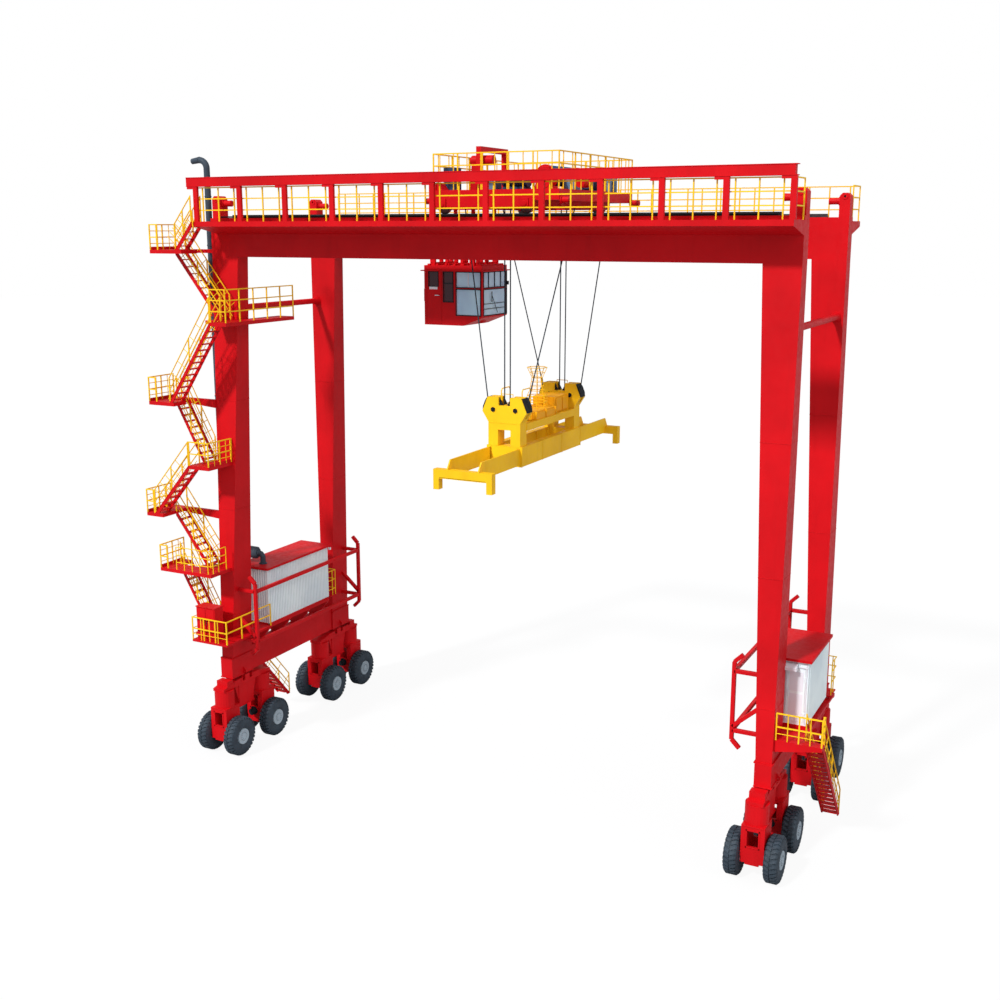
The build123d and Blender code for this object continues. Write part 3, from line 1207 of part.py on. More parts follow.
def spreader_frame():
    """Fixed middle of the spreader: two hollow side beams joined by a cross beam under each end of
    the headblock.  The arms of the two ends slide inside the side beams."""
    x = TROLLEY_X
    z0 = MAIN_LOW_Z
    z1 = MAIN_TOP_Z
    skin = MAIN_SKIN
    pieces = []
    holes = []
    for s in (-1, 1):
        outer = x + s * MAIN_HALF_W
        inner = x + s * (MAIN_HALF_W - MAIN_BEAM_W)
        pieces.append(box(outer, inner, -MAIN_HALF_L, MAIN_HALF_L, z0, z1))
        arm0 = x + s * (arm_edge(0) + SLIDE)
        arm1 = x + s * (arm_edge(1) - ARM_T - SLIDE)
        holes.append(box(arm0, arm1, -MAIN_HALF_L - 1, MAIN_HALF_L + 1, z0 + skin - SLIDE, z1 - skin + SLIDE))
    side = MAIN_HALF_W - MAIN_BEAM_W
    for s in (-1, 1):
        pieces.append(box(x - side, x + side, s * (MAIN_HALF_L - CROSS_W), s * MAIN_HALF_L, z0, z1))
    body = fuse(pieces)
    for hole in holes:
        body -= hole
    return body


def arm_edge(which):
    """Outer face of an arm, from the spreader's middle line; the near and far arms lie side by side."""
    return MAIN_HALF_W - MAIN_SKIN - MAIN_SKIN / 2 - which * (ARM_T + ARM_SPACE)


def spreader_end(s, which):
    """End beam with its corner locks on two plate arms that have bevelled ends."""
    x = TROLLEY_X
    y = CONTAINER_HALF_L
    low = CONTAINER_TOP_Z + LOCK_H
    top = low + END_BEAM_H
    z0 = MAIN_LOW_Z + MAIN_SKIN
    z1 = MAIN_TOP_Z - MAIN_SKIN
    outline = [(ARM_INNER_Y, z0), (y, z0), (y, top), (y + ARM_BEVEL / 2, top), (y - ARM_BEVEL / 2, z1), (ARM_INNER_Y, z1)]
    outer = x + CONTAINER_HALF_W
    pieces = [box(2 * x - outer, outer, s * (y - END_BEAM_W / 2), s * (y + END_BEAM_W / 2), low, top)]
    for k in (-1, 1):
        edge = arm_edge(which)
        x0, x1 = sorted((x + k * edge, x + k * (edge - ARM_T)))
        pieces.append(prism_x([(s * a, z) for a, z in outline], x0, x1))
        corner = x + k * CONTAINER_HALF_W
        pieces.append(box(corner, corner - k * LOCK_W, s * (y - END_BEAM_W / 2), s * (y + END_BEAM_W / 2),
                          CONTAINER_TOP_Z, low))
    return fuse(pieces)


def cable_basket():
    """Wire basket that takes up the cable: a ring at its foot, waist and mouth, joined by bars."""
    z0 = MAIN_TOP_Z + TIE_BEAM_LOW + TIE_BEAM_H + HEAD_BOX_UP
    levels = [(z0, BASKET_BASE_R), (z0 + BASKET_H / 3, BASKET_WAIST_R), (z0 + BASKET_H * 2 / 3, BASKET_WAIST_R),
              (z0 + BASKET_H, BASKET_TOP_R)]
    h = BASKET_BAR / 2
    outline = [(r, z) for z, r in levels] + [(r - BASKET_BAR, z) for z, r in reversed(levels)]
    pieces = [Rot(0, 0, 360 * i / BASKET_BARS) * prism_y(outline, -h, h) for i in range(BASKET_BARS)]
    for z, r in levels:
        low = min(max(z - h, z0), z0 + BASKET_H - BASKET_BAR)
        ring = RegularPolygon(r, BASKET_BARS) - RegularPolygon(r - BASKET_BAR, BASKET_BARS)
        pieces.append(extrude(Pos(0, 0, low) * ring, BASKET_BAR))
    return Pos(TROLLEY_X, HEAD_BOX_Y[1], 0) * fuse(pieces)


def rope(foot, head):
    """Taut rope with level ends, from foot to head."""
    rings = [Plane(origin=p) * RegularPolygon(ROPE_R, ROPE_SIDES) for p in (foot, head)]
    return loft(rings, ruled=True)


def ropes():
    """Two pairs to each end of the headblock: the inner pair hangs plumb, the outer ones lean out."""
    x = TROLLEY_X
    y = HEAD_FACE_Y - HEAD_T / 2
    foot_z = HEAD_TOP_Z - SHEAVE_DROP
    found = []
    for s in (-1, 1):
        for k in (-1, 1):
            foot = (x + k * ROPE_IN_X, s * y, HEAD_TOP_Z - HEAD_NOTCH_H)
            found.append(rope(foot, (foot[0], foot[1], BEAM_LOW_Z)))
            foot = (x + k * (SHEAVE_X + SHEAVE_R + ROPE_R), s * y, foot_z)
            head = (x + k * (ROPE_OUT_X + ROPE_SPREAD_X), s * (y - ROPE_SPREAD_Y), BEAM_LOW_Z)
            found.append(rope(foot, head))
    return found


def lifting():
    save(headblock(), "headblock")
    save(spreader_frame(), "spreader_frame")
    save(spreader_end(-1, 0), "spreader_end_near")
    save(spreader_end(1, 1), "spreader_end_far")
    save(ropes(), "hoist_ropes")
    save(cable_basket(), "cable_basket")


frame()
stairs()
ground_gear()
running_gear()
trolley()
lifting()
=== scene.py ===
import json
from math import cos, hypot, pi, radians, sin

import bmesh
import bpy
from mathutils import Matrix, Vector


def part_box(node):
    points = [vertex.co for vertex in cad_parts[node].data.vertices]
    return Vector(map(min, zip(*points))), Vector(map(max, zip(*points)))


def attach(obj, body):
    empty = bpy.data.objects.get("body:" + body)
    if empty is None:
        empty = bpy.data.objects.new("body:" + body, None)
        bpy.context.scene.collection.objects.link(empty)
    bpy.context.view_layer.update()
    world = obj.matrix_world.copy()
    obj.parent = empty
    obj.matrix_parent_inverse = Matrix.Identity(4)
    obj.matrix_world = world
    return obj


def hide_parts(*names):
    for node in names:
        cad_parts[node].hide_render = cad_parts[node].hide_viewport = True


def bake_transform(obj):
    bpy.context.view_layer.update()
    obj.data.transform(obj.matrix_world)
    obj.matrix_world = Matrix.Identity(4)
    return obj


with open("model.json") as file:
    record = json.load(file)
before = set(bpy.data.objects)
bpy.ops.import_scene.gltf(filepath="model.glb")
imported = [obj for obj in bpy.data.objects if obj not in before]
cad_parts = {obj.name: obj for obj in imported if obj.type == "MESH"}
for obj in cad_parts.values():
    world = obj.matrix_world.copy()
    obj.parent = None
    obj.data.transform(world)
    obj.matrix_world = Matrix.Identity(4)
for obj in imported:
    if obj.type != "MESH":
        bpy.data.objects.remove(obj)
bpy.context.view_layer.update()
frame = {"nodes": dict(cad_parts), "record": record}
NODES = frame["nodes"]

# the photograph's camera, in the row frame
CAMERA_AT = (22.5256, -44.5741, 22.6884)
CAMERA_YAW = 27.067
CAMERA_PITCH = 12.496
CAMERA_LENS = 44.07
SENSOR = 36.0

# places of the CAD solids, in metres of the row frame
SHIFT_X = 0.525            # middle of the bay
AXLE_Z = 0.864
PIVOT_Z = 3.15
CORNER_Y = 3.6
FOOT_Z = 3.3
LEG_IN_X = 11.72           # at the foot, from the middle of the bay
LEG_OUT_X = 12.27
LEG_TAPER_X = 0.78
LEG_IN_Y = 3.147
LEG_OUT_Y = 4.505          # at the foot
LEG_TAPER_Y = 0.705
GIRDER_LOW_Z = 21.555
GIRDER_TOP_Z = 23.11
RAIL_Y = 3.4
BUFFER_Z = 23.7
LEFT_DECK_Z = 5.3
RIGHT_DECK_Z = 5.1

# tyres and hubs
TYRE_W = 0.53
TREAD_DEPTH = 0.045
LUGS = 30
RIM_R = 0.36
HUB_PROUD = 0.012
HUB_BOLTS = 12
HUB_BOLT_RING = 0.175
CORE = 0.0001              # radius of a lathe outline that meets its axis

# common small sizes
BEVEL = 0.012
RAIL_R = 0.02
THIN_R = RAIL_R * 0.8
RAIL_IN = 0.022            # from the edge of a deck to the middle of its rail
RAIL_UP = 1.0
RIB_PITCH = 0.12
RIB_DEPTH = 0.045
WALL_EDGE = 0.06
GUARD_W = 0.15
CORNERS = ("front_left", "back_left", "front_right", "back_right")
LEGS = ["leg_" + corner for corner in CORNERS]
EQUALIZERS = ["equalizer_" + corner for corner in CORNERS]
TRUCKS = ["truck_%s_%s" % (corner, end) for corner in CORNERS for end in ("outer", "inner")]
ROUNDED = ["girder_front", "girder_back", "cable_beam", "girder_walkways", "stair_landings", "house_roofs",
           "sill_beam_left", "sill_beam_right", "control_cabinet", "spreader_frame", "spreader_end_near",
           "spreader_end_far", "headblock", "cabin_body", "guard_frames", "trolley_frame", "side_platforms"]


class Shader:
    """A Principled material with short calls for the procedural nodes that feed it."""

    def __init__(self, name, base, rough=0.4, metal=0.0):
        self.mat = bpy.data.materials.new(name)
        self.mat.use_nodes = True
        self.tree = self.mat.node_tree
        self.bsdf = self.tree.nodes["Principled BSDF"]
        self.bsdf.inputs["Base Color"].default_value = (*base, 1.0)
        self.bsdf.inputs["Roughness"].default_value = rough
        self.bsdf.inputs["Metallic"].default_value = metal
        self.mat.diffuse_color = (*base, 1.0)
        self.coords = self.tree.nodes.new("ShaderNodeTexCoord")

    def node(self, kind, **values):
        made = self.tree.nodes.new(kind)
        for key, value in values.items():
            if key in made.inputs:
                made.inputs[key].default_value = value
            else:
                setattr(made, key, value)
        return made

    def link(self, a, b):
        self.tree.links.new(a, b)

    def noise(self, scale, detail=4.0, rough=0.6, stretch=(1.0, 1.0, 1.0)):
        mapping = self.node("ShaderNodeMapping", Scale=stretch)
        self.link(self.coords.outputs["Object"], mapping.inputs["Vector"])
        noise = self.node("ShaderNodeTexNoise", Scale=scale, Detail=detail, Roughness=rough)
        self.link(mapping.outputs["Vector"], noise.inputs["Vector"])
        return noise.outputs["Fac"]

    def ramp(self, fac, stops):
        ramp = self.node("ShaderNodeValToRGB")
        elements = ramp.color_ramp.elements
        for element, (place, value) in zip(elements, stops):
            element.position = place
            element.color = (*value, 1.0) if isinstance(value, tuple) else (value, value, value, 1.0)
        self.link(fac, ramp.inputs["Fac"])
        return ramp.outputs["Color"]

    def mix(self, fac, a, b):
        mix = self.node("ShaderNodeMix", data_type="RGBA")
        sockets = {socket.name: socket for socket in mix.inputs if socket.enabled}
        self.link(fac, sockets["Factor"])
        for key, value in (("A", a), ("B", b)):
            if isinstance(value, tuple):
                sockets[key].default_value = (*value, 1.0)
            else:
                self.link(value, sockets[key])
        return [s for s in mix.outputs if s.enabled][0]

    def bump(self, height, strength, distance):
        bump = self.node("ShaderNodeBump", Strength=strength, Distance=distance)
        self.link(height, bump.inputs["Height"])
        self.link(bump.outputs["Normal"], self.bsdf.inputs["Normal"])

    def color(self, socket):
        self.link(socket, self.bsdf.inputs["Base Color"])

    def rough(self, socket):
        self.link(socket, self.bsdf.inputs["Roughness"])


def shade(base, factor):
    return tuple(min(1.0, c * factor) for c in base)


def paint(name, base, rough=0.42, dirt=0.22, shine=0.12):
    """Weathered paint: slow drift of tone, faint runs down the plates and fine orange peel."""
    s = Shader(name, base, rough)
    drift = s.noise(0.35, 3.0)
    runs = s.noise(2.5, 5.0, 0.65, (1.0, 1.0, 0.12))
    tone = s.ramp(drift, [(0.3, shade(base, 0.84)), (0.7, shade(base, 1.1))])
    marks = s.ramp(runs, [(0.52, 0.0), (0.8, dirt)])
    s.color(s.mix(marks, tone, shade(base, 0.5)))
    s.rough(s.ramp(s.noise(6.0, 3.0), [(0.3, rough - 0.06), (0.7, rough + 0.14)]))
    s.bump(s.noise(60.0, 2.0), 0.15, 0.002)
    s.bsdf.inputs["Specular IOR Level"].default_value = shine
    return s.mat


def rubber(name, base):
    s = Shader(name, base, 0.72)
    s.color(s.ramp(s.noise(3.0, 6.0), [(0.35, base), (0.75, shade(base, 1.8))]))
    s.rough(s.ramp(s.noise(9.0), [(0.3, 0.6), (0.7, 0.85)]))
    s.bump(s.noise(45.0, 5.0), 0.3, 0.004)
    return s.mat


def metal(name, base, rough=0.35):
    s = Shader(name, base, rough, 0.75)
    s.color(s.ramp(s.noise(5.0, 5.0), [(0.3, shade(base, 0.7)), (0.7, shade(base, 1.2))]))
    s.rough(s.ramp(s.noise(12.0), [(0.3, rough - 0.1), (0.7, rough + 0.15)]))
    s.bump(s.noise(80.0), 0.1, 0.001)
    return s.mat


def glass(name, base):
    s = Shader(name, base, 0.06)
    s.color(s.ramp(s.noise(0.8, 2.0), [(0.3, shade(base, 0.85)), (0.7, shade(base, 1.15))]))
    s.rough(s.ramp(s.noise(4.0), [(0.3, 0.03), (0.7, 0.1)]))
    s.bsdf.inputs["Transmission Weight"].default_value = 0.12
    s.bsdf.inputs["IOR"].default_value = 1.45
    return s.mat


RED = paint("paint_red", (0.6, 0.004, 0.008))
YELLOW = paint("paint_yellow", (0.98, 0.56, 0.012))
ORANGE = paint("paint_orange", (0.93, 0.43, 0.008))
PALE = paint("panel_pale_blue", (0.84, 0.95, 1.0), 0.45, 0.04)
# dark blue painted shade for the grooves between the wall ribs
GROOVE_PAINTED_SHADE = paint("panel_groove_painted_shade", (0.07, 0.14, 0.28), 0.5, 0.1)
WHITE = paint("panel_white", (0.8, 0.82, 0.88), 0.45, 0.06)
NAVY = paint("machine_navy", (0.03, 0.06, 0.12), 0.4, 0.3)
STEEL_BLUE = paint("machine_blue_grey", (0.12, 0.22, 0.34), 0.4, 0.3)
DARK = paint("pipe_dark", (0.055, 0.075, 0.1), 0.45)
BLACK = paint("black_parts", (0.012, 0.014, 0.018), 0.5)
STEEL = metal("steel_dark", (0.07, 0.075, 0.08))
HUB = paint("hub_grey", (0.36, 0.44, 0.5), 0.45)
ROPE = metal("rope_steel", (0.035, 0.05, 0.065), 0.5)
TYRE = rubber("tyre_rubber", (0.02, 0.032, 0.045))
GLASS = glass("window_blue", (0.5, 0.74, 1.0))
# dark red glass: painted shade of the cabin inside, seen through the door and slim windows
GLASS_PAINTED_SHADE = glass("window_painted_shade", (0.06, 0.012, 0.02))

IN_SLOT = {"red_paint": (RED,), "yellow_paint": (YELLOW, ORANGE), "rail_steel": (STEEL, HUB),
           "white_panel": (PALE, WHITE, GROOVE_PAINTED_SHADE), "dark_pipe": (DARK, NAVY, STEEL_BLUE),
           "tyre_rubber": (TYRE, BLACK), "cabin_glass": (GLASS, GLASS_PAINTED_SHADE), "rope_steel": (ROPE,)}


def turned(axis):
    """Turns the local Z axis to the named one; local X stays level."""
    turns = {"x": ((0, 0, 1), (1, 0, 0), (0, 1, 0)), "y": ((1, 0, 0), (0, 0, 1), (0, -1, 0)),
             "z": ((1, 0, 0), (0, 1, 0), (0, 0, 1))}
    return Matrix(turns[axis]).to_4x4()


def linked(name, data):
    """Object in the scene that shows the data."""
    obj = bpy.data.objects.new(name, data)
    bpy.context.scene.collection.objects.link(obj)
    return obj


def made(name, bm, material):
    """Object with the gathered faces as its mesh."""
    mesh = bpy.data.meshes.new(name)
    bm.to_mesh(mesh)
    bm.free()
    mesh.materials.append(material)
    return linked(name, mesh)


class Shape:
    """Solids gathered in one mesh, in metres of the row frame."""

    def __init__(self):
        self.bm = bmesh.new()

    def block(self, x0, x1, y0, y1, z0, z1):
        corners = [self.bm.verts.new((x, y, z)) for x in (x0, x1) for y in (y0, y1) for z in (z0, z1)]
        for face in ((0, 1, 3, 2), (4, 6, 7, 5), (0, 4, 5, 1), (2, 3, 7, 6), (0, 2, 6, 4), (1, 5, 7, 3)):
            self.bm.faces.new([corners[i] for i in face])

    def bar(self, p, q, r, sides=8, r1=None):
        """Round bar from p to q, or a cone if r1 is given."""
        p = Vector(p)
        q = Vector(q)
        turn = (q - p).to_track_quat("Z", "Y").to_matrix().to_4x4()
        place = Matrix.Translation((p + q) / 2) @ turn
        bmesh.ops.create_cone(self.bm, cap_ends=True, segments=sides, radius1=r,
                              radius2=r if r1 is None else r1, depth=(q - p).length, matrix=place)

    def post(self, x, y, z0, z1, r=RAIL_R, sides=6):
        """Upright round bar."""
        self.bar((x, y, z0), (x, y, z1), r, sides)

    def route(self, points, r, sides=10):
        """Pipe through the points, with a ball at each turn."""
        for p, q in zip(points, points[1:]):
            self.bar(p, q, r, sides)
        for p in points[1:-1]:
            self.ball(p, r, sides)

    def ball(self, at, r, sides=10):
        bmesh.ops.create_uvsphere(self.bm, u_segments=sides, v_segments=sides // 2 + 1, radius=r,
                                  matrix=Matrix.Translation(at))

    def lathe(self, outline, at, axis, sides=32):
        """Closed outline of (radius, place along the axis), turned about the axis through at."""
        place = Matrix.Translation(at) @ turned(axis)
        rings = []
        for i in range(sides):
            a = 2 * pi * i / sides
            points = [Vector((r * cos(a), r * sin(a), h)) for r, h in outline]
            rings.append([self.bm.verts.new(place @ point) for point in points])
        count = len(outline)
        for i in range(sides):
            here = rings[i]
            there = rings[(i + 1) % sides]
            for k in range(count):
                self.bm.faces.new((here[k], here[(k + 1) % count], there[(k + 1) % count], there[k]))

    def prism(self, outline, axis, a0, a1):
        """Flat outline across the axis, pulled from a0 to a1: (y, z) for x, (x, z) for y, (x, y) for z."""
        def point(p, a):
            return {"x": (a, p[0], p[1]), "y": (p[0], a, p[1]), "z": (p[0], p[1], a)}[axis]
        low = [self.bm.verts.new(point(p, a0)) for p in outline]
        high = [self.bm.verts.new(point(p, a1)) for p in outline]
        self.bm.faces.new(low)
        self.bm.faces.new(list(reversed(high)))
        count = len(outline)
        for i in range(count):
            k = (i + 1) % count
            self.bm.faces.new((low[i], high[i], high[k], low[k]))

    def done(self, name, material, body="gantry", replaces=(), bevel=0.0):
        bmesh.ops.recalc_face_normals(self.bm, faces=self.bm.faces)
        for edge in self.bm.edges:
            edge.smooth = len(edge.link_faces) == 2 and edge.calc_face_angle(3.0) < radians(40)
        for face in self.bm.faces:
            face.smooth = True
        obj = made(name, self.bm, material)
        if bevel:
            soften(obj, bevel)
        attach(obj, body)
        if replaces:
            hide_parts(*replaces)


def soften(obj, width):
    """Rounds the sharp edges a little, so that they catch the light."""
    bevel = obj.modifiers.new("soft_edges", "BEVEL")
    bevel.width = width
    bevel.segments = 2
    bevel.limit_method = "ANGLE"
    bevel.angle_limit = radians(40)
    bevel.harden_normals = True


class Limits:
    """Least, greatest and middle places along each axis."""

    def __init__(self, low, high):
        self.x0, self.y0, self.z0 = low
        self.x1, self.y1, self.z1 = high
        self.x, self.y, self.z = ((a + b) / 2 for a, b in zip(low, high))


def ends(node):
    """Limits of a CAD node."""
    return Limits(*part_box(node))


def reach(points):
    """Limits of a list of points."""
    low = [min(p[i] for p in points) for i in range(3)]
    high = [max(p[i] for p in points) for i in range(3)]
    return Limits(low, high)


def islands(node):
    """Vertices of each separate solid of a CAD node."""
    bm = bmesh.new()
    bm.from_mesh(NODES[node].data)
    bmesh.ops.remove_doubles(bm, verts=bm.verts, dist=0.0005)
    seen = set()
    found = []
    for start in bm.verts:
        if start in seen:
            continue
        stack = [start]
        seen.add(start)
        group = []
        while stack:
            vert = stack.pop()
            group.append(vert.co.copy())
            for edge in vert.link_edges:
                other = edge.other_vert(vert)
                if other not in seen:
                    seen.add(other)
                    stack.append(other)
        found.append(group)
    bm.free()
    return found


def evenly(a, b, count):
    """Places from a to b with count equal steps between them."""
    return [a + (b - a) * i / count for i in range(count + 1)]


def span(a, b):
    """Two places in rising order."""
    return sorted((a, b))


def dress_cad_nodes():
    """Gives every CAD node its material and rounds the edges of the steel forms."""
    for part in frame["record"]["subparts"]:
        node = NODES[part["node"]]
        node.data.materials.clear()
        node.data.materials.append(IN_SLOT[part["material_slot"]][0])
    for name in ROUNDED + LEGS + EQUALIZERS + TRUCKS:
        soften(NODES[name], BEVEL)


# running gear

def tyre(shape, x, y, z, radius):
    """Tyre with a round shoulder and chunky lugs on both edges of its tread."""
    w = TYRE_W / 2
    base = radius - TREAD_DEPTH
    wall = [(RIM_R, w - 0.05), (RIM_R + 0.05, w - 0.012), (radius * 0.62, w), (radius * 0.8, w - 0.012),
            (base - 0.05, w - 0.05), (base, w - 0.12)]
    profile = [(r, -across) for r, across in wall] + wall[::-1]
    shape.lathe(profile, (x, y, z), "x", 48)
    step = 2 * pi / LUGS
    for side in (-1, 1):
        for i in range(LUGS):
            lug(shape, (x, y, z), side, step * (i + 0.25 * side), step, base, radius)


def lug(shape, at, side, angle, step, base, radius):
    """One block of the tread, slanting from the shoulder to the middle."""
    w = TYRE_W / 2
    spread = step * 0.3
    lean = step * 0.35
    shoulder = w - 0.03
    shoulder_drop = 0.055
    places = []
    for r in (base - 0.02, radius):
        for along, turn, drop in ((0.02, lean, 0.0), (w - 0.09, 0.0, 0.0), (shoulder, 0.0, shoulder_drop)):
            for s in (-1, 1):
                a = angle + turn + s * spread
                places.append((at[0] + side * along, at[1] + (r - drop) * cos(a),
                               at[2] + (r - drop) * sin(a)))
    verts = [shape.bm.verts.new(p) for p in places]
    quads = []
    for i in (0, 2):
        quads += [(i + 6, i + 7, i + 9, i + 8), (i, i + 2, i + 3, i + 1), (i, i + 6, i + 8, i + 2),
                  (i + 1, i + 3, i + 9, i + 7)]
    for quad in quads + [(0, 1, 7, 6), (4, 10, 11, 5)]:
        shape.bm.faces.new([verts[n] for n in quad])


def hub(shape, at, side):
    """Dished wheel disc with its rim and a small cap."""
    outline = [(CORE, 0.0), (RIM_R, 0.0), (RIM_R, 0.2), (RIM_R - 0.02, 0.255), (0.24, 0.262), (0.23, 0.255),
               (0.12, 0.255), (0.11, 0.274), (CORE, 0.275)]
    shape.lathe([(r, side * out) for r, out in outline], at, "x", 32)


def hub_bolts(shape, at, side):
    face = at[0] + side * TYRE_W / 2
    for i in range(HUB_BOLTS):
        a = 2 * pi * i / HUB_BOLTS
        place = (at[1] + HUB_BOLT_RING * cos(a), at[2] + HUB_BOLT_RING * sin(a))
        shape.bar((face - side * 0.015, *place), (face + side * 0.004, *place), 0.014, 6)


def wheel_pairs():
    """Two tyres, their discs, the axle between them and the wheel bolts, for each truck."""
    inset = HUB_PROUD + TYRE_W / 2
    axle_in = 0.4
    for truck in TRUCKS:
        name = truck.replace("truck_", "")
        body = "wheels_" + name
        box = ends(body)
        radius = (box.z1 - box.z0) / 2
        tyres = Shape()
        hubs = Shape()
        bolts = Shape()
        for x in (box.x0 + inset, box.x1 - inset):
            tyre(tyres, x, box.y, radius, radius)
            for side in (-1, 1):
                hub(hubs, (x, box.y, radius), side)
                hub_bolts(bolts, (x, box.y, radius), side)
        hubs.bar((box.x0 + axle_in, box.y, radius), (box.x1 - axle_in, box.y, radius), 0.075, 20)
        tyres.done("tyres_" + name, TYRE, body, (body,))
        hubs.done("hubs_" + name, HUB, body)
        bolts.done("wheel_bolts_" + name, STEEL, body)


def truck_plates(box):
    """Ring under the equalizer, frame round the fork's window, axle caps and edge strips."""
    strips = ((-0.26, -0.205, 1.3, 2.0), (0.205, 0.26, 1.3, 2.0), (-0.26, 0.26, 1.95, 2.0),
              (-0.26, 0.26, 1.3, 1.35), (-0.4, 0.4, 2.1, 2.15))
    shape = Shape()
    low = box.z1 - 0.05
    high = box.z1 - 0.004
    shape.lathe([(0.12, low), (0.4, low), (0.4, high), (0.12, high)], (box.x, box.y, 0), "z", 32)
    for face, out in ((box.y0, -1), (box.y1, 1)):
        ys = span(face, face + out * 0.018)
        for a, b, z0, z1 in strips:
            shape.block(box.x + a, box.x + b, *ys, z0, z1)
    for face, side in ((box.x0, -1), (box.x1, 1)):
        shape.bar((face - side * 0.01, box.y, AXLE_Z), (face + side * 0.015, box.y, AXLE_Z), 0.16, 24)
        xs = span(face, face + side * 0.012)
        for z in (1.25, 2.05):
            shape.block(*xs, box.y - 0.4, box.y + 0.4, z, z + 0.04)
    return shape


def drive_motor(box, toward):
    """Motor with a flange and a terminal box, on the side of the fork that faces the other truck."""
    shape = Shape()
    z = 1.18
    y = box.y + toward * 0.6
    shape.bar((box.x, box.y + toward * 0.455, z), (box.x, box.y + toward * 0.72, z), 0.15, 20)
    shape.bar((box.x, box.y + toward * 0.5, z), (box.x, box.y + toward * 0.52, z), 0.18, 20)
    shape.block(box.x - 0.07, box.x + 0.07, y - 0.06, y + 0.06, z + 0.12, z + 0.22)
    return shape


def truck_details():
    for body in TRUCKS:
        name = body.replace("truck_", "")
        box = ends(body)
        toward = -1 if box.y > 0 else 1
        if body.endswith("inner"):
            toward = -toward
        truck_plates(box).done("truck_plates_" + name, RED, body, bevel=0.004)
        drive_motor(box, toward).done("drive_motor_" + name, BLACK, body, bevel=0.005)


def equalizer_details():
    """Pivot discs, stiffeners and ribs of the beams under the legs."""
    for corner, body in zip(CORNERS, EQUALIZERS):
        box = ends(body)
        y = CORNER_Y if box.y0 > 0 else -CORNER_Y
        plates = Shape()
        caps = Shape()
        for side, face in ((-1, box.x0), (1, box.x1)):
            plates.bar((face - side * 0.05, y, PIVOT_Z), (face - side * 0.002, y, PIVOT_Z), 0.11, 24)
            caps.bar((face - side * 0.01, y, PIVOT_Z), (face - side * 0.001, y, PIVOT_Z), 0.05, 16)
            xs = span(face, face - side * 0.1)
            for a in (-0.9, -0.45, 0.45, 0.9):
                plates.block(*xs, y + a - 0.012, y + a + 0.012, 3.02, 3.14)
        for k in (-1, 1):
            rib = [(y + k * a, z) for a, z in ((0.5, 2.9), (0.5, 2.2), (0.53, 2.2), (0.72, 2.8), (0.72, 2.9))]
            for x in (box.x - 0.16, box.x + 0.16):
                plates.prism(rib, "x", x - 0.012, x + 0.012)
        plates.block(box.x - 0.24, box.x + 0.24, y - 0.52, y + 0.52, 1.84, 1.87)
        plates.done("equalizer_plates_" + corner, RED, body, bevel=0.004)
        caps.done("pivot_caps_" + corner, STEEL, body)


# frame

def leg_details():
    """Collar plates round the foot of each leg and the seams of its plates."""
    collar = 0.05
    seam = 0.012
    levels = [(3.3, 0.06, collar), (4.18, 0.055, collar)] + [(z, seam, seam) for z in (6.2, 10.9, 15.6)]
    for corner, leg in zip(CORNERS, LEGS):
        box = ends(leg)
        side = 1 if box.x0 > 0 else -1
        out = 1 if box.y0 > 0 else -1
        shape = Shape()
        for z, proud, thick in levels:
            share = (z - FOOT_Z) / (GIRDER_LOW_Z - FOOT_Z)
            inner = LEG_IN_X - LEG_TAPER_X * share - proud
            far = LEG_OUT_Y - LEG_TAPER_Y * share + proud
            xs = span(side * inner + SHIFT_X, side * (LEG_OUT_X + proud) + SHIFT_X)
            ys = span(out * (LEG_IN_Y - min(proud, 0.02)), out * far)
            shape.block(*xs, *ys, z, z + thick)
        shape.done("leg_collars_" + corner, RED, bevel=0.004)


def walkway_details():
    """Clips along the rails, the cable on each girder and the flanges of the cable beam."""
    cable_x = (-11.3, 11.9)
    for name, s in (("front", -1), ("back", 1)):
        clips = Shape()
        for x in evenly(-10.5, 11.1, 36):
            for y in (s * RAIL_Y - 0.1, s * RAIL_Y + 0.1):
                clips.block(x - 0.05, x + 0.05, y - 0.035, y + 0.035, GIRDER_TOP_Z, GIRDER_TOP_Z + 0.04)
        clips.done("rail_clips_" + name, STEEL)
        cable = Shape()
        y = s * 3.68
        cable.route([(x, y, GIRDER_TOP_Z + 0.05) for x in cable_x], 0.028)
        cable.block(*cable_x, y - 0.06, y + 0.06, GIRDER_TOP_Z, GIRDER_TOP_Z + 0.015)
        cable.done("girder_cable_" + name, BLACK)
    box = ends("cable_beam")
    low = box.z1 - 0.36
    flanges = Shape()
    for z0, z1 in ((low - 0.004, low + 0.024), (box.z1 - 0.028, box.z1 - 0.001)):
        flanges.block(box.x0, box.x1, box.y0 - 0.015, box.y0 + 0.27, z0, z1)
    flanges.done("cable_beam_flanges", RED)


def ear_details():
    """Rings round the lifting holes and caps on the buffers at the ends of the girders."""
    hole_z = 23.87
    ear_y = 3.397
    ear_half_t = 0.25
    rings = Shape()
    tips = Shape()
    for s in (-1, 1):
        for end in (-1, 1):
            x = end * 12.07 + SHIFT_X
            tip = end * 11.44 + SHIFT_X
            for out in (-1, 1):
                ring = [(0.045, 0.0), (0.11, 0.0), (0.11, out * 0.02), (0.045, out * 0.02)]
                rings.lathe(ring, (x, s * ear_y + out * ear_half_t, hole_z), "y", 20)
            y = s * ear_y
            tips.bar((tip - end * 0.004, y, BUFFER_Z), (tip + end * 0.1, y, BUFFER_Z), 0.126, 24)
    rings.done("ear_rings", RED)
    tips.done("buffer_tips", RED, bevel=0.02)


# stairs

def flights():
    """Foot, head, side and direction of every stringer, read from the CAD."""
    found = []
    for group in islands("stair_stringers"):
        box = reach(group)
        along = 0 if box.x1 - box.x0 > box.y1 - box.y0 else 1
        head = [v for v in group if v.z > box.z1 - 0.002][0]
        feet = [v for v in group if v.z < box.z0 + 0.002]
        foot = max(feet, key=lambda v: abs(v[along] - head[along]))
        side = box.y if along == 0 else box.x
        found.append((foot[along], box.z0, head[along], box.z1, side, along))
    return found


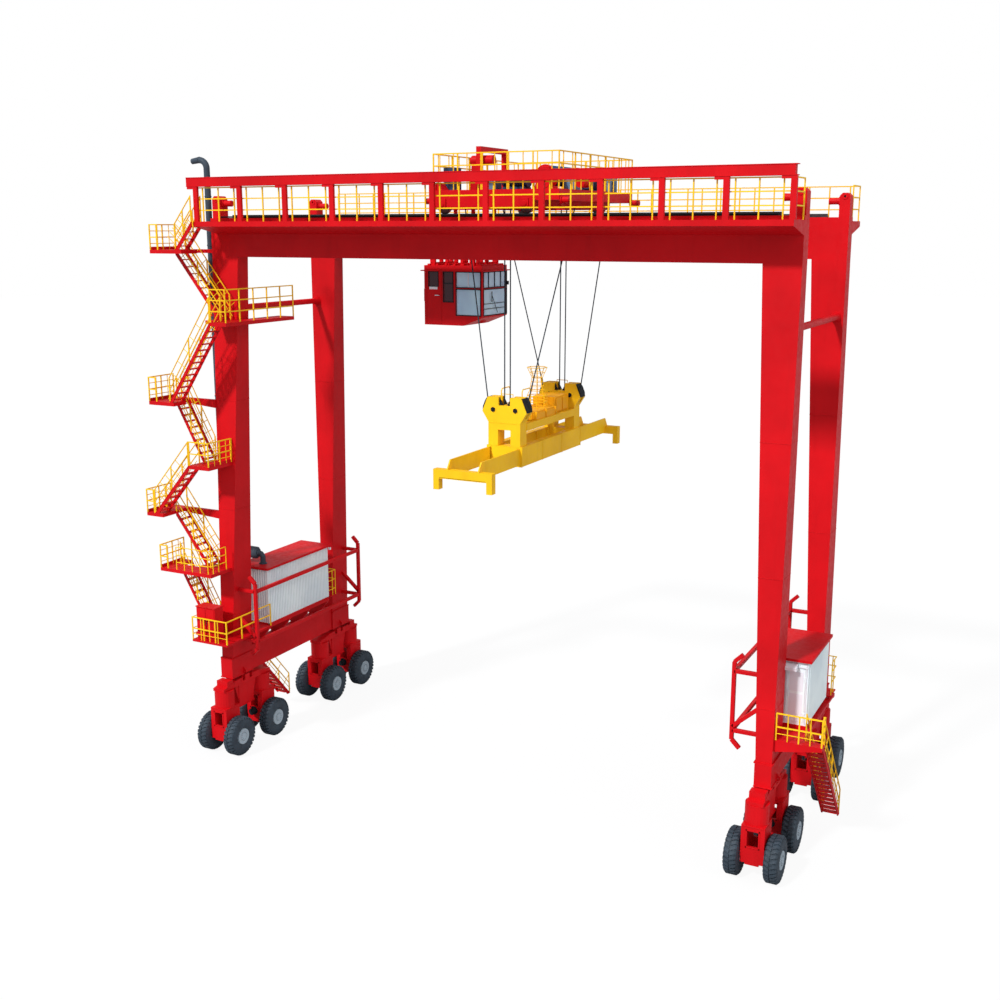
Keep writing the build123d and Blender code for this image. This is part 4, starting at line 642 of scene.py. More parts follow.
def beside(flight, share, up, across=0.0):
    """Point part of the way along a flight, moved square to it and across it."""
    a0, z0, a1, z1, side, along = flight
    run = Vector((a1 - a0, z1 - z0)).normalized()
    lift = Vector((-run.y, run.x)) if run.x >= 0 else Vector((run.y, -run.x))
    a = a0 + (a1 - a0) * share + lift.x * up
    z = z0 + (z1 - z0) * share + lift.y * up
    return (a, side + across, z) if along == 0 else (side + across, a, z)


def stair_details():
    """Balusters square to each flight, a third rail and a lip on the stringers."""
    rails = Shape()
    lips = Shape()
    for flight in flights():
        a0, z0, a1, z1 = flight[:4]
        up = RAIL_UP * abs(a1 - a0) / hypot(a1 - a0, z1 - z0)
        for share in evenly(0.12, 0.88, 5):
            rails.bar(beside(flight, share, 0.0), beside(flight, share, up), THIN_R, 6)
        rails.bar(beside(flight, 0.02, up * 0.25), beside(flight, 0.98, up * 0.25), THIN_R, 6)
        for across in (-0.028, 0.028):
            lips.bar(beside(flight, 0.01, -0.006, across), beside(flight, 0.99, -0.006, across), 0.012, 6)
    rails.done("stair_balusters", YELLOW)
    lips.done("stringer_lips", RED)


def first_landing_rails(rails, box):
    """Handrail along the outer edge of the lowest landing and round its end beside the leg."""
    y = box.y0 + RAIL_IN
    start = box.x0 + 0.9
    end = box.x1 - RAIL_IN
    back = -4.62
    turn = 0.15
    path = ((start, y), (end - turn, y), (end, y + turn), (end, back))
    for z in (0.33, 0.66, RAIL_UP):
        level = box.z1 + z
        for p, q in zip(path, path[1:]):
            rails.bar((*p, level), (*q, level), RAIL_R, 8)
    for x in evenly(start, end - turn, 4):
        rails.post(x, y, box.z1, box.z1 + RAIL_UP, sides=8)
    for at in (y + turn, (y + back) / 2, back):
        rails.post(end, at, box.z1, box.z1 + RAIL_UP, sides=8)


def landing_details():
    """Kick plate and extra rails on the free end of each landing."""
    back = -4.11
    rails = Shape()
    plates = Shape()
    for group in islands("stair_landings"):
        box = reach(group)
        left = box.x0 < -12.6
        x = box.x0 + RAIL_IN if left else box.x1 - RAIL_IN
        y = box.y0 + 0.02
        top = box.z1
        for z in (0.25, 0.75):
            rails.bar((x, y, top + z), (x, back, top + z), THIN_R, 6)
        for at in evenly(y, back, 4):
            rails.post(x, at, top, top + RAIL_UP, THIN_R)
        plates.block(x - 0.006, x + 0.006, box.y0, back, top, top + 0.12)
        if left and top < 9.0:
            first_landing_rails(rails, box)
    rails.done("landing_rails", YELLOW)
    plates.done("landing_kick_plates", RED)


# houses

def ribbed_wall(shape, axis, face, out, a0, a1, z0, z1):
    """Vertical ribs standing out from a wall across the axis."""
    count = max(2, round((a1 - a0) / RIB_PITCH))
    pitch = (a1 - a0) / count
    for i in range(count):
        a = a0 + i * pitch
        top = face + out * RIB_DEPTH
        shares = ((face, 0.14), (top, 0.24), (top, 0.76), (face, 0.86))
        outline = [(p, a + share * pitch) for p, share in shares]
        if axis == "y":
            outline = [(q, p) for p, q in outline]
        shape.prism(outline, "z", z0, z1)


def generator_house():
    """Corrugated walls round a core painted dark as the shade in the grooves, corner posts, a sill and a
    lamp.
    """
    box = ends("generator_house")
    d = RIB_DEPTH
    e = WALL_EDGE
    walls = Shape()
    for face, out in ((box.x0 + d, -1), (box.x1 - d, 1)):
        ribbed_wall(walls, "x", face, out, box.y0 + e, box.y1 - e, box.z0 + e, box.z1 - e)
    for face, out in ((box.y0 + d, -1), (box.y1 - d, 1)):
        ribbed_wall(walls, "y", face, out, box.x0 + e, box.x1 - e, box.z0 + e, box.z1 - e)
    for x in (box.x0, box.x1 - e):
        for y in (box.y0, box.y1 - e):
            walls.block(x, x + e, y, y + e, box.z0, box.z1)
    walls.done("generator_ribs", PALE)
    core = Shape()
    # dark core seen between the ribs: painted shade in the grooves
    core.block(box.x0 + d, box.x1 - d, box.y0 + d, box.y1 - d, box.z0, box.z1)
    core.done("generator_core_painted_shade", GROOVE_PAINTED_SHADE, replaces=("generator_house",))
    sill = Shape()
    sill.block(box.x0, box.x1, box.y0, box.y1, box.z0, box.z0 + e)
    sill.done("generator_sill", RED)
    lamp = Shape()
    x = box.x1 + 0.08
    z = box.z1 - 0.1
    lamp.block(x - 0.06, x + 0.06, box.y1 + 0.02, box.y1 + 0.1, z - 0.06, z + 0.05)
    lamp.bar((x, box.y1 - 0.01, z), (x, box.y1 + 0.03, z), 0.02)
    lamp.done("generator_lamp", WHITE, bevel=0.01)


def house_front(box, y):
    """Upright strips beside the doorway, its frame and the small roof over it."""
    shape = Shape()
    door_x = (12.82, 13.5)
    low = box.z0 + 0.05
    high = box.z1 - 0.02
    head = box.z0 + 2.16
    for a, b in ((box.x0 + 0.02, door_x[0]), (door_x[1], box.x1 - 0.01)):
        count = max(1, round((b - a) / 0.17))
        for x in evenly(a, b - 0.05, count):
            shape.block(x, x + 0.03, y - 0.02, y, low, high)
    frame_x = door_x[0] - 0.02
    shape.block(frame_x, frame_x + 0.04, y - 0.03, y, box.z0 + 0.1, head + 0.04)
    shape.block(frame_x, door_x[1] + 0.06, y - 0.03, y, head, head + 0.05)
    porch = [(y, head - 0.06), (y - 0.3, head - 0.06), (y - 0.3, head + 0.06), (y, head + 0.18)]
    shape.prism(porch, "x", 12.3, 13.2)
    return shape


def electrical_house():
    """Ribs on three walls, trim on the front and panels with a handle on the door."""
    box = ends("electrical_house")
    front_y = -2.95
    e = 0.08
    low = box.z0 + 0.05
    high = box.z1 - 0.02
    ribs = Shape()
    ribbed_wall(ribs, "x", box.x1, 1, front_y + e, box.y1 - e, low, high)
    ribbed_wall(ribs, "x", box.x0, -1, front_y + e, box.y1 - e, low, high)
    ribbed_wall(ribs, "y", box.y1, 1, box.x0 + e, box.x1 - e, low, high)
    ribs.done("electrical_ribs", PALE, bevel=0.005)
    house_front(box, front_y).done("electrical_front_trim", WHITE, bevel=0.005)
    leaf = ends("electrical_house_door")
    door = Shape()
    for z0, z1 in ((leaf.z0 + 1.15, leaf.z1 - 0.12), (leaf.z0 + 0.12, leaf.z0 + 1.05)):
        door.block(leaf.x0 + 0.07, leaf.x1 - 0.12, leaf.y1 - 0.0565, leaf.y1 - 0.048, z0, z1)
    x = leaf.x0 + 0.045
    y = leaf.y1 - 0.095
    grip = (leaf.z0 + 0.95, leaf.z0 + 1.15)
    door.post(x, y, *grip, 0.012, 8)
    for z in grip:
        door.bar((x, y, z), (x, y + 0.05, z), 0.01)
    door.done("electrical_door_panels", WHITE, "electrical_house_door", bevel=0.004)


def exhaust_bend(x, y, top, reach_in):
    """Quarter turn at the top of the stack, from upright to level."""
    rise = 0.34
    return [(x - reach_in * (1 - cos(a)), y, top - rise + rise * sin(a))
            for a in evenly(0.0, pi / 2, 6)]


def exhaust():
    """Lying muffler beside the leg, its elbow to the roof and the stack with a cut tip."""
    box = ends("exhaust_stack")
    x = box.x0 + 0.765
    y = -3.0
    r = 0.13
    top = box.z1 - 0.14
    muffler_y = -2.0
    level = 8.42
    roof_z = 7.95
    pipe = Shape()
    pipe.bar((x + 0.15, muffler_y, level), (-11.55, muffler_y, level), 0.27, 28)
    pipe.bar((-11.55, muffler_y, level), (-11.46, muffler_y, level), 0.27, 28, 0.19)
    elbow = [(-11.5, level), (-11.32, level - 0.02), (-11.22, level - 0.14), (-11.22, roof_z)]
    pipe.route([(a, muffler_y, z) for a, z in elbow], 0.12, 20)
    pipe.post(-11.22, muffler_y, roof_z, roof_z + 0.04, 0.18, 24)
    turn = [(x + 0.2, muffler_y, level), (x, muffler_y, level), (x, muffler_y - 0.3, level),
            (x, y + 0.25, level), (x, y + 0.07, level + 0.07), (x, y, level + 0.25), (x, y, top - 0.34)]
    bend = exhaust_bend(x, y, top, 0.38)
    pipe.route(turn + bend[1:], r, 20)
    tip = bend[-1]
    pipe.lathe([(r, 0.0), (r + 0.01, 0.02), (r - 0.012, 0.02)], (tip[0], y, tip[2]), "x", 20)
    pipe.bar(tip, (box.x0 + 0.02, y, top - 0.05), r, 20, r * 0.9)
    for z in (10.5, 13.0, 15.6, 19.0, 22.0, 24.0):
        pipe.post(x, y, z - 0.03, z + 0.03, r + 0.015, 20)
    pipe.done("exhaust_pipe", DARK, replaces=("exhaust_stack",))
    ties = Shape()
    leg_face = SHIFT_X - LEG_OUT_X
    for z in (8.38, 13.03, 15.63, 19.03):
        ties.block(x, leg_face, y - 0.03, y + 0.03, z, z + 0.09)
        ties.block(x - 0.03, x + 0.03, y, y - 0.15, z, z + 0.09)
    ties.done("exhaust_ties", RED)
    # black disc on the closed tip of the stack: painted shade inside its open mouth
    mouth = Shape()
    mouth.bar((box.x0 + 0.012, y, top - 0.052), (box.x0 + 0.022, y, top - 0.051), r * 0.8, 20)
    mouth.done("exhaust_mouth_painted_shade", BLACK)


def cabinet_details():
    """Two door leaves, a roof plate and handles on the control cabinet."""
    box = ends("control_cabinet")
    leaves = Shape()
    for a, b in ((box.x0 + 0.04, box.x - 0.01), (box.x + 0.01, box.x1 - 0.04)):
        leaves.block(a, b, box.y0 - 0.018, box.y0, box.z0 + 0.06, box.z1 - 0.06)
    leaves.block(box.x0 - 0.03, box.x1 + 0.03, box.y0 - 0.04, box.y1 + 0.02, box.z1 - 0.002, box.z1 + 0.03)
    leaves.done("cabinet_doors", RED, bevel=0.006)
    handles = Shape()
    y = box.y0 - 0.04
    for x in (box.x - 0.06, box.x + 0.06):
        handles.post(x, y, box.z0 + 0.7, box.z0 + 0.9, 0.012, 8)
    handles.done("cabinet_handles", STEEL)


# trolley

def fins(shape, axis, at, r, a0, a1):
    """Cooling fins round a motor."""
    for a in evenly(a0, a1, 10):
        ring = [(r * 0.6, a - 0.012), (r, a - 0.012), (r, a + 0.012), (r * 0.6, a + 0.012)]
        shape.lathe(ring, at, axis, 24)


def rope_drum(x, z):
    """Drum with shallow grooves, between its two stands."""
    outline = [(0.1, -1.5)]
    for y in evenly(-1.4, 1.4, 40):
        outline += [(0.355, y - 0.03), (0.375, y), (0.355, y + 0.03)]
    shape = Shape()
    shape.lathe(outline + [(0.1, 1.5)], (x, 0, z), "y", 32)
    shape.done("rope_drum", NAVY, "trolley", ("hoist_drum",))


def hoist_stands(x, z, box):
    """Flanges and stands of the drum, its gearbox and the round red motors."""
    shape = Shape()
    for y in (-1.5, 1.5):
        flange = [(0.1, y - 0.03), (0.398, y - 0.03), (0.398, y + 0.03), (0.1, y + 0.03)]
        shape.lathe(flange, (x, 0, z), "y", 32)
    stand = [(x - 0.4, box.z0), (x + 0.4, box.z0), (x + 0.2, z + 0.3), (x - 0.2, z + 0.3)]
    for y in (-1.66, 1.5):
        shape.prism(stand, "y", y, y + 0.16)
    shape.block(x - 0.3, box.x1, 1.67, 1.98, box.z0, box.z0 + 0.82)
    shape.block(box.x1 - 0.5, box.x1 - 0.1, -3.2, -2.4, box.z0, box.z0 + 0.12)
    for out, y0, y1, up, r in ((-0.3, -3.15, -2.55, 0.32, 0.24), (-0.3, -3.22, -3.15, 0.32, 0.28),
                               (0.2, -1.1, -0.5, 0.3, 0.2)):
        shape.bar((box.x1 + out, y0, box.z0 + up), (box.x1 + out, y1, box.z0 + up), r, 24)
    shape.prism([(-1.4, box.z0), (-0.92, box.z0), (-1.16, box.z0 + 0.3)], "y", -3.45, -2.9)
    shape.done("hoist_stands", RED, "trolley", bevel=0.01)


def hoist_machinery():
    """Drum, motors with fins and plain cabinets on the trolley's deck."""
    box = ends("hoist_drum")
    x = box.x0 + 0.4
    z = box.z0 + 0.56
    base = box.z0
    rope_drum(x, z)
    hoist_stands(x, z, box)
    motor = Shape()
    x = box.x1 - 0.3
    motor.bar((x, 0.7, base + 0.32), (x, 1.66, base + 0.32), 0.22, 24)
    fins(motor, "y", (x, 0, base + 0.32), 0.29, 0.8, 1.5)
    motor.block(box.x1 - 0.42, box.x1 - 0.18, 0.95, 1.25, base + 0.5, base + 0.66)
    motor.block(box.x1 - 0.55, box.x1 - 0.05, 0.75, 1.6, base, base + 0.06)
    motor.bar((1.35, -2.75, base + 0.38), (2.35, -2.75, base + 0.38), 0.3, 28)
    fins(motor, "x", (0, -2.75, base + 0.38), 0.35, 1.45, 2.25)
    motor.block(1.4, 2.3, -3.05, -2.45, base, base + 0.1)
    motor.block(-1.2, -0.7, -2.85, -2.35, base, base + 0.85)
    motor.done("hoist_motors", NAVY, "trolley", bevel=0.01)
    grey = Shape()
    grey.block(0.55, 1.05, -2.9, -2.4, base, base + 0.6)
    grey.block(2.75, 3.25, -0.6, 0.1, base, base + 0.5)
    for at in ((3.55, 2.0), (3.3, 2.25), (3.58, 2.5)):
        grey.post(*at, base, base + 0.72, 0.13, 20)
    grey.done("trolley_units", STEEL_BLUE, "trolley", bevel=0.01)


def portal_details():
    """Lying cylinder behind the near post of the portal, on its bracket."""
    level = ends("trolley_frame").z1 - 0.5
    deck = ends("trolley_railings").z0
    x = 0.025
    y = -1.93
    parts = Shape()
    parts.bar((x - 0.46, y, level), (x + 0.46, y, level), 0.19, 24)
    parts.bar((x - 0.52, y, level), (x - 0.46, y, level), 0.14, 24)
    bracket = [(x - 0.5, deck), (x - 0.12, deck), (x - 0.16, level), (x - 0.42, level)]
    parts.prism(bracket, "y", y - 0.16, y + 0.16)
    parts.done("portal_cylinder", RED, "trolley", bevel=0.01)


def mirrored(half):
    """Outline of (radius, place along the axis) that is alike on both sides of its middle."""
    return [(r, -a) for r, a in reversed(half)] + half


def trolley_side_details():
    """Rail wheels, axle boxes and black buffer pads."""
    box = ends("trolley_frame")
    wheel = mirrored([(0.24, 0.06), (0.27, 0.065), (0.27, 0.075), (0.24, 0.09), (0.02, 0.09)])
    wheels = Shape()
    pads = Shape()
    boxes = Shape()
    for y in (-RAIL_Y, RAIL_Y):
        for x in (-0.835, 2.585):
            wheels.lathe(wheel, (x, y, 23.5), "y", 28)
            for k in (-1, 1):
                at = y + k * 0.2
                boxes.block(x - 0.16, x + 0.16, *span(at, at + k * 0.05), 23.42, 23.78)
                boxes.bar((x, at, 23.58), (x, at + k * 0.08, 23.58), 0.1, 16)
        for x, out in ((box.x0 + 0.39, -1), (box.x1 - 0.39, 1)):
            ring = [(0.05, 0.0), (0.17, 0.0), (0.17, out * 0.05), (0.05, out * 0.05)]
            pads.bar((x + out * 0.3, y, BUFFER_Z), (x + out * 0.389, y, BUFFER_Z), 0.112, 24)
            boxes.lathe(ring, (x, y, BUFFER_Z), "x", 24)
    wheels.done("trolley_wheels", STEEL, "trolley")
    pads.done("trolley_buffer_pads", BLACK, "trolley", bevel=0.01)
    boxes.done("trolley_axle_boxes", RED, "trolley", bevel=0.01)


def trolley_posts():
    """Extra posts in the trolley's handrail."""
    box = ends("trolley_railings")
    xs = evenly(box.x0 + 0.3, box.x1 - 0.3, 8)
    ys = evenly(box.y0 + 0.4, box.y1 - 0.4, 8)
    places = [(x, y) for y in (box.y0 + RAIL_IN, box.y1 - RAIL_IN) for x in xs]
    places += [(x, y) for x in (box.x0 + RAIL_IN, box.x1 - RAIL_IN) for y in ys]
    rails = Shape()
    for at in places:
        rails.post(*at, box.z0, box.z1 - 0.02)
    rails.done("trolley_extra_posts", YELLOW, "trolley")


# cabin

CABIN_X = (-3.155, -0.495)
CABIN_Y = (-1.07, 1.09)
FRONT_Y = (-0.95, 0.97)
LOW_PANES = (19.3, 20.3)
TOP_PANES = (20.4, 20.98)
SLIM_PANE = (19.82, 20.98)
DOOR_PANE = (20.43, 20.98)
SIDE_X = (-1.665, -0.585)
SLIM_X = (-2.255, -1.835)
DOOR_X = (-2.935, -2.515)


def pane_frame(shape, axis, face, out, across, levels, t=0.035):
    """Flat frame standing out round an opening."""
    proud = span(face, face + out * 0.02)
    a0, a1 = across
    z0, z1 = levels
    for a, b, low, high in (
            (a0 - t, a1 + t, z1, z1 + t), (a0 - t, a1 + t, z0 - t, z0),
            (a0 - t, a0, z0, z1), (a1, a1 + t, z0, z1)):
        if axis == "y":
            shape.block(a, b, *proud, low, high)
        else:
            shape.block(*proud, a, b, low, high)


def cabin_windows(dark, white, red):
    """Frames and bars of the panes on both sides, on the front and in the door."""
    front = CABIN_X[1]
    for face, out in zip(CABIN_Y, (-1, 1)):
        for across, levels in ((SIDE_X, TOP_PANES), (SIDE_X, LOW_PANES), (SLIM_X, SLIM_PANE)):
            pane_frame(dark, "y", face, out, across, levels)
        ys = span(face - out * 0.02, face + out * 0.01)
        dark.block(*SLIM_X, *ys, 20.53, 20.56)
        white.block(-1.14, -1.11, *ys, *TOP_PANES)
        red.block(*SIDE_X, *ys, LOW_PANES[1], TOP_PANES[0])
    pane_frame(dark, "x", front, 1, FRONT_Y, TOP_PANES)
    pane_frame(dark, "x", front, 1, FRONT_Y, LOW_PANES)
    for y in (-0.52, 0.01, 0.54):
        dark.block(front - 0.02, front + 0.012, y - 0.014, y + 0.014, *TOP_PANES)
    x = front + 0.03
    for z in (19.55, 19.75):
        dark.bar((x, FRONT_Y[0], z), (x, FRONT_Y[1], z), 0.012)
    dark.bar((x, 0.2, 19.36), (x, -0.3, 20.1), 0.012)
    dark.bar((front + 0.035, -0.3, 19.8), (front + 0.035, -0.3, 20.22), 0.018)
    pane_frame(dark, "y", CABIN_Y[0], -1, DOOR_X, DOOR_PANE, 0.03)


def cabin_door(white, red):
    """Edge strips, sill and handle of the door."""
    face = CABIN_Y[0]
    white.block(-2.915, -2.545, face - 0.012, face, 20.295, 20.4)
    white.block(-2.655, -2.445, face - 0.05, face - 0.03, 20.045, 20.075)
    for x in (-2.645, -2.455):
        white.block(x - 0.01, x + 0.01, face - 0.05, face, 20.045, 20.075)
    for a, b, low, high in ((-3.065, -3.045, 18.93, 21.12), (-2.375, -2.355, 18.93, 21.12),
                            (-3.065, -2.355, 21.1, 21.12), (-3.065, -2.355, 18.93, 18.95)):
        red.block(a, b, face - 0.014, face, low, high)


def cabin():
    """Frames, door, roof brackets, consoles and dark panes painted as the shaded inside of the cabin."""
    x0, x1 = CABIN_X
    y0, y1 = CABIN_Y
    top = ends("cabin_body").z1
    dark = Shape()
    white = Shape()
    red = Shape()
    cabin_windows(dark, white, red)
    cabin_door(white, red)
    dark.block(x1 - 0.05, x1 + 0.012, y1 - 0.06, y1 + 0.012, 19.25, top - 0.2)
    dark.block(x1 + 0.01, x1 + 0.12, y1 - 0.16, y1 - 0.04, 20.45, 20.6)
    red.block(x0 - 0.12, x0, -0.9, -0.5, 19.8, 20.3)
    for x in evenly(x0 + 0.15, x1 - 0.15, 6):
        red.block(x - 0.05, x + 0.05, y0 + 0.1, y1 - 0.1, top, top + 0.06)
    for x in (-2.9, -2.2, -1.5, -0.8):
        for y in (-0.85, -0.1, 0.75):
            red.block(x - 0.09, x + 0.09, y - 0.02, y + 0.02, top, top + 0.26)
            red.bar((x, y - 0.06, top + 0.17), (x, y + 0.06, top + 0.17), 0.07, 16)
    dark.done("cabin_frames", BLACK, "trolley")
    white.done("cabin_fittings", WHITE, "trolley", bevel=0.003)
    red.done("cabin_roof_brackets", RED, "trolley", bevel=0.004)
    inside = Shape()
    for ys in ((-0.6, -0.4), (0.4, 0.6)):
        inside.block(-1.2, -0.7, *ys, 19.2, 19.85)
    for y in (-0.5, 0.5):
        inside.post(-0.95, y, 19.85, 20.0, 0.02, 8)
    inside.done("cabin_consoles", BLACK, "trolley", bevel=0.02)
    # door and slim panes painted dark as the shaded inside of the cabin
    panes = Shape()
    for xs, levels in ((DOOR_X, DOOR_PANE), (SLIM_X, SLIM_PANE)):
        panes.block(*xs, y0 + 0.018, y0 + 0.03, *levels)
    panes.done("cabin_panes_painted_shade", GLASS_PAINTED_SHADE, "trolley")


# headblock and spreader

def headblock_details():
    """Black corner covers, pins and sheaves on both housings."""
    box = ends("headblock")
    x = box.x
    top = box.z1
    cover = ((0.68, 0.06), (0.76, 0.005), (0.86, 0.16), (0.95, 0.38), (0.965, 0.56), (0.88, 0.58))
    notch = ((0.243, 0.02), (0.243, 0.31), (0.09, 0.31))
    sheave = mirrored([(0.255, 0.01), (0.3, 0.045), (0.27, 0.055), (0.05, 0.055)])
    corner = Shape()
    pins = Shape()
    edges = Shape()
    for s in (-1, 1):
        near = s * 2.85
        far = s * 2.29
        faces = ((near, s), (far, -s))
        lo, hi = span(near + s * 0.006, far - s * 0.006)
        for k in (-1, 1):
            corner.prism([(x + k * a, top - drop) for a, drop in cover], "y", lo + 0.05, hi - 0.05)
            for ys in ((lo + 0.08, lo + 0.14), (hi - 0.14, hi - 0.08)):
                corner.prism([(x + k * a, top - drop) for a, drop in notch], "y", *ys)
            at = x + k * 0.48
            for face, out in faces:
                for proud, r, sides in ((0.035, 0.1, 6), (0.05, 0.05, 12)):
                    pins.bar((at, face, top - 0.48), (at, face + out * proud, top - 0.48), r, sides)
            pins.lathe(sheave, (at, (near + far) / 2, top - 0.48), "y", 28)
        for face, out in faces:
            ys = span(face, face + out * 0.012)
            edges.block(x - 0.66, x + 0.66, *ys, top - 1.0, top - 0.97)
            edges.block(x - 0.3, x + 0.3, *ys, top - 1.26, top - 1.22)
    corner.done("headblock_corner_covers", BLACK, "lift", bevel=0.006)
    pins.done("headblock_pins", BLACK, "lift")
    edges.done("headblock_seams", YELLOW, "lift")


def lift_boxes():
    """Orange boxes with their leaves, the hoops beside them and the grips on the housings."""
    box = ends("headblock")
    x = box.x
    low = box.z0 + 0.56
    boxes = Shape()
    for a, b, *ys, z0, z1 in (
            (-0.52, 0.6, -1.35, 0.55, 0.3, 0.62), (0.6, 0.645, -1.3, -0.45, 0.02, 0.55),
            (0.6, 0.645, -0.35, 0.5, 0.02, 0.55), (-0.5, 0.5, 0.75, 2.1, 0.3, 0.95),
            (0.5, 0.54, 0.85, 1.38, 0.36, 0.88), (0.5, 0.54, 1.46, 2.0, 0.36, 0.88)):
        boxes.block(x + a, x + b, *ys, low + z0, low + z1)
    for y in (-1.32, -0.4, 0.5):
        boxes.block(x + 0.6, x + 0.68, y - 0.03, y + 0.03, low, low + 0.62)
    boxes.done("lift_boxes", ORANGE, "lift", bevel=0.008)
    hoops = Shape()
    hoop = ((-2.2, 0.29), (-2.2, 1.5), (-2.12, 1.58), (-1.53, 1.58), (-1.45, 1.5), (-1.45, 0.29))
    for k in (-0.45, 0.45):
        hoops.route([(x + k, y, low + up) for y, up in hoop], 0.022, 8)
        hoops.bar((x + k, -2.2, low + 0.95), (x + k, -1.45, low + 0.95), 0.018, 8)
    grip = ((-0.24, 0.0), (-0.24, 0.1), (0.24, 0.1), (0.24, 0.0))
    for y in (-2.57, 2.57):
        hoops.route([(x + a, y, box.z1 + up) for a, up in grip], 0.014, 6)
    hoops.done("lift_hoops", YELLOW, "lift")


def basket():
    """Funnel of fine wires with a narrow waist and a wide foot."""
    box = ends("cable_basket")
    low = box.z0 + 0.012
    height = box.z1 - box.z0 - 0.024
    sides = 8
    thick = [(0.0, 0.41), (0.2, 0.41), (0.34, 0.4), (0.46, 0.3), (0.76, 0.21), (1.0, 0.4)]
    thin = [(0.08, 0.41), (0.27, 0.405), (0.56, 0.27), (0.66, 0.24), (0.88, 0.305)]
    wires = Shape()

    def point(i, level):
        share, r = level
        a = 2 * pi * (i + 0.5) / sides
        return (box.x + r * cos(a), box.y + r * sin(a), low + height * share)

    for levels, r in ((thick, 0.015), (thin, 0.01)):
        for level in levels:
            for i in range(sides):
                wires.bar(point(i, level), point(i + 1, level), r, 6)
    for i in range(sides):
        for a, b in zip(thick, thick[1:]):
            wires.bar(point(i, a), point(i, b), 0.013, 6)
    wires.done("basket_wires", YELLOW, "lift", ("cable_basket",))


def spreader_details():
    """Collars where the arms leave the side beams, and their seams."""
    box = ends("spreader_frame")
    collars = Shape()
    for s in (-1, 1):
        for k in (-1, 1):
            beam = box.x + k * 0.61
            outer = box.x + k * 0.76
            for y in (2.8, 0.9):
                ys = span(s * y, s * (y + 0.038))
                for zs in ((box.z0 - 0.012, box.z0), (box.z1, box.z1 + 0.012)):
                    collars.block(beam - 0.15, beam + 0.162, *ys, *zs)
                collars.block(*span(outer, outer + k * 0.012), *ys, box.z0, box.z1)
        inner = box.x + s * 0.46
        for y in evenly(-2.0, 2.0, 4):
            collars.block(*span(inner, inner - s * 0.05), y - 0.01, y + 0.01, box.z0 + 0.02, box.z1 - 0.02)
    collars.done("spreader_collars", YELLOW, "lift", bevel=0.003)


def spreader_locks():
    """Dark locks under the corners, plates over them and the seam of each end beam."""
    for name, s in (("spreader_end_near", -1), ("spreader_end_far", 1)):
        box = ends(name)
        locks = Shape()
        plates = Shape()
        y = s * 6.096
        for x in (box.x0 + 0.115, box.x1 - 0.115):
            locks.post(x, y, box.z0 + 0.001, box.z0 + 0.03, 0.07, 12)
            plates.block(x - 0.117, x + 0.117, y - 0.1448, y + 0.1448, box.z0 + 0.34, box.z0 + 0.36)
        ys = span(s * 6.241, s * 6.238)
        plates.block(box.x0 + 0.25, box.x1 - 0.25, *ys, box.z0 + 0.45, box.z0 + 0.47)
        locks.done(name + "_locks", BLACK, name)
        plates.done(name + "_plates", YELLOW, name, bevel=0.002)


def ropes():
    """Taut ropes between the sheaves and the trolley."""
    r = 0.024
    sides = 10
    bm = bmesh.new()
    for group in islands("hoist_ropes"):
        box = reach(group)
        rings = []
        for tip in ([v for v in group if v.z < box.z0 + 0.01], [v for v in group if v.z > box.z1 - 0.01]):
            at = sum(tip, Vector()) / len(tip)
            rings.append([bm.verts.new((at.x + r * cos(a), at.y + r * sin(a), at.z))
                          for a in evenly(0, 2 * pi * (sides - 1) / sides, sides - 1)])
        low, high = rings
        for i in range(sides):
            k = (i + 1) % sides
            bm.faces.new((low[i], low[k], high[k], high[i]))
        bm.faces.new(low)
        bm.faces.new(high)
    bmesh.ops.recalc_face_normals(bm, faces=bm.faces)
    obj = made("ropes", bm, ROPE)
    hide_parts("hoist_ropes")
    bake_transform(obj)


# decks and guards

def deck_rails():
    """Extra posts and rails round the decks beside the legs."""
    rails = Shape()
    for x0, x1, end, y, deck in ((-12.35, -10.52, -10.5, -5.578, LEFT_DECK_Z),
                                 (12.85, 14.44, 14.44, -4.278, RIGHT_DECK_Z)):
        for x in evenly(x0, x1, 4):
            rails.post(x, y, deck, deck + RAIL_UP)
        rails.bar((x0, y, deck + 0.25), (end, y, deck + 0.25), THIN_R, 6)
    rails.bar((-12.35, -5.578, 5.3), (-12.35, -4.3, 5.3), 0.01, 6)
    for z in (5.55, 5.8, 6.3):
        rails.bar((-12.353, -5.578, z), (-12.353, -4.9, z), RAIL_R, 6)
    rails.done("deck_rails", YELLOW)


def strut(shape, p, q, y, w):
    """Square bar from p to q in the XZ plane at y."""
    p = Vector(p)
    q = Vector(q)
    side = (q - p).normalized().orthogonal() * (w / 2)
    outline = [tuple(v) for v in (p + side, q + side, q - side, p - side)]
    shape.prism(outline, "y", y - w / 2, y + w / 2)


def guards():
    """Bar frames on the inner side of the legs, with tall posts and tips bent to the legs."""
    half = GUARD_W / 2
    bend = 0.3
    low = 4.7
    high = 7.65
    bars = (5.05, 7.3)
    end_y = 4.0
    shape = Shape()
    for s in (-1, 1):
        x = s * 10.65 + SHIFT_X
        leg = s * 11.95 + SHIFT_X
        struts = [((x, low), (x, high)), ((x, low), (x + s * bend, low - bend)),
                  ((x, high), (x + s * bend, high + bend)), ((x, 5.2), (leg, 6.35))]
        struts += [((x, z), (leg, z)) for z in bars]
        for y in (-end_y, end_y):
            for p, q in struts:
                strut(shape, p, q, y, GUARD_W)
        for z in bars:
            shape.block(x - half, x + half, -end_y, end_y, z - half, z + half)
    shape.done("guard_bars", RED, replaces=("guard_frames",), bevel=0.02)


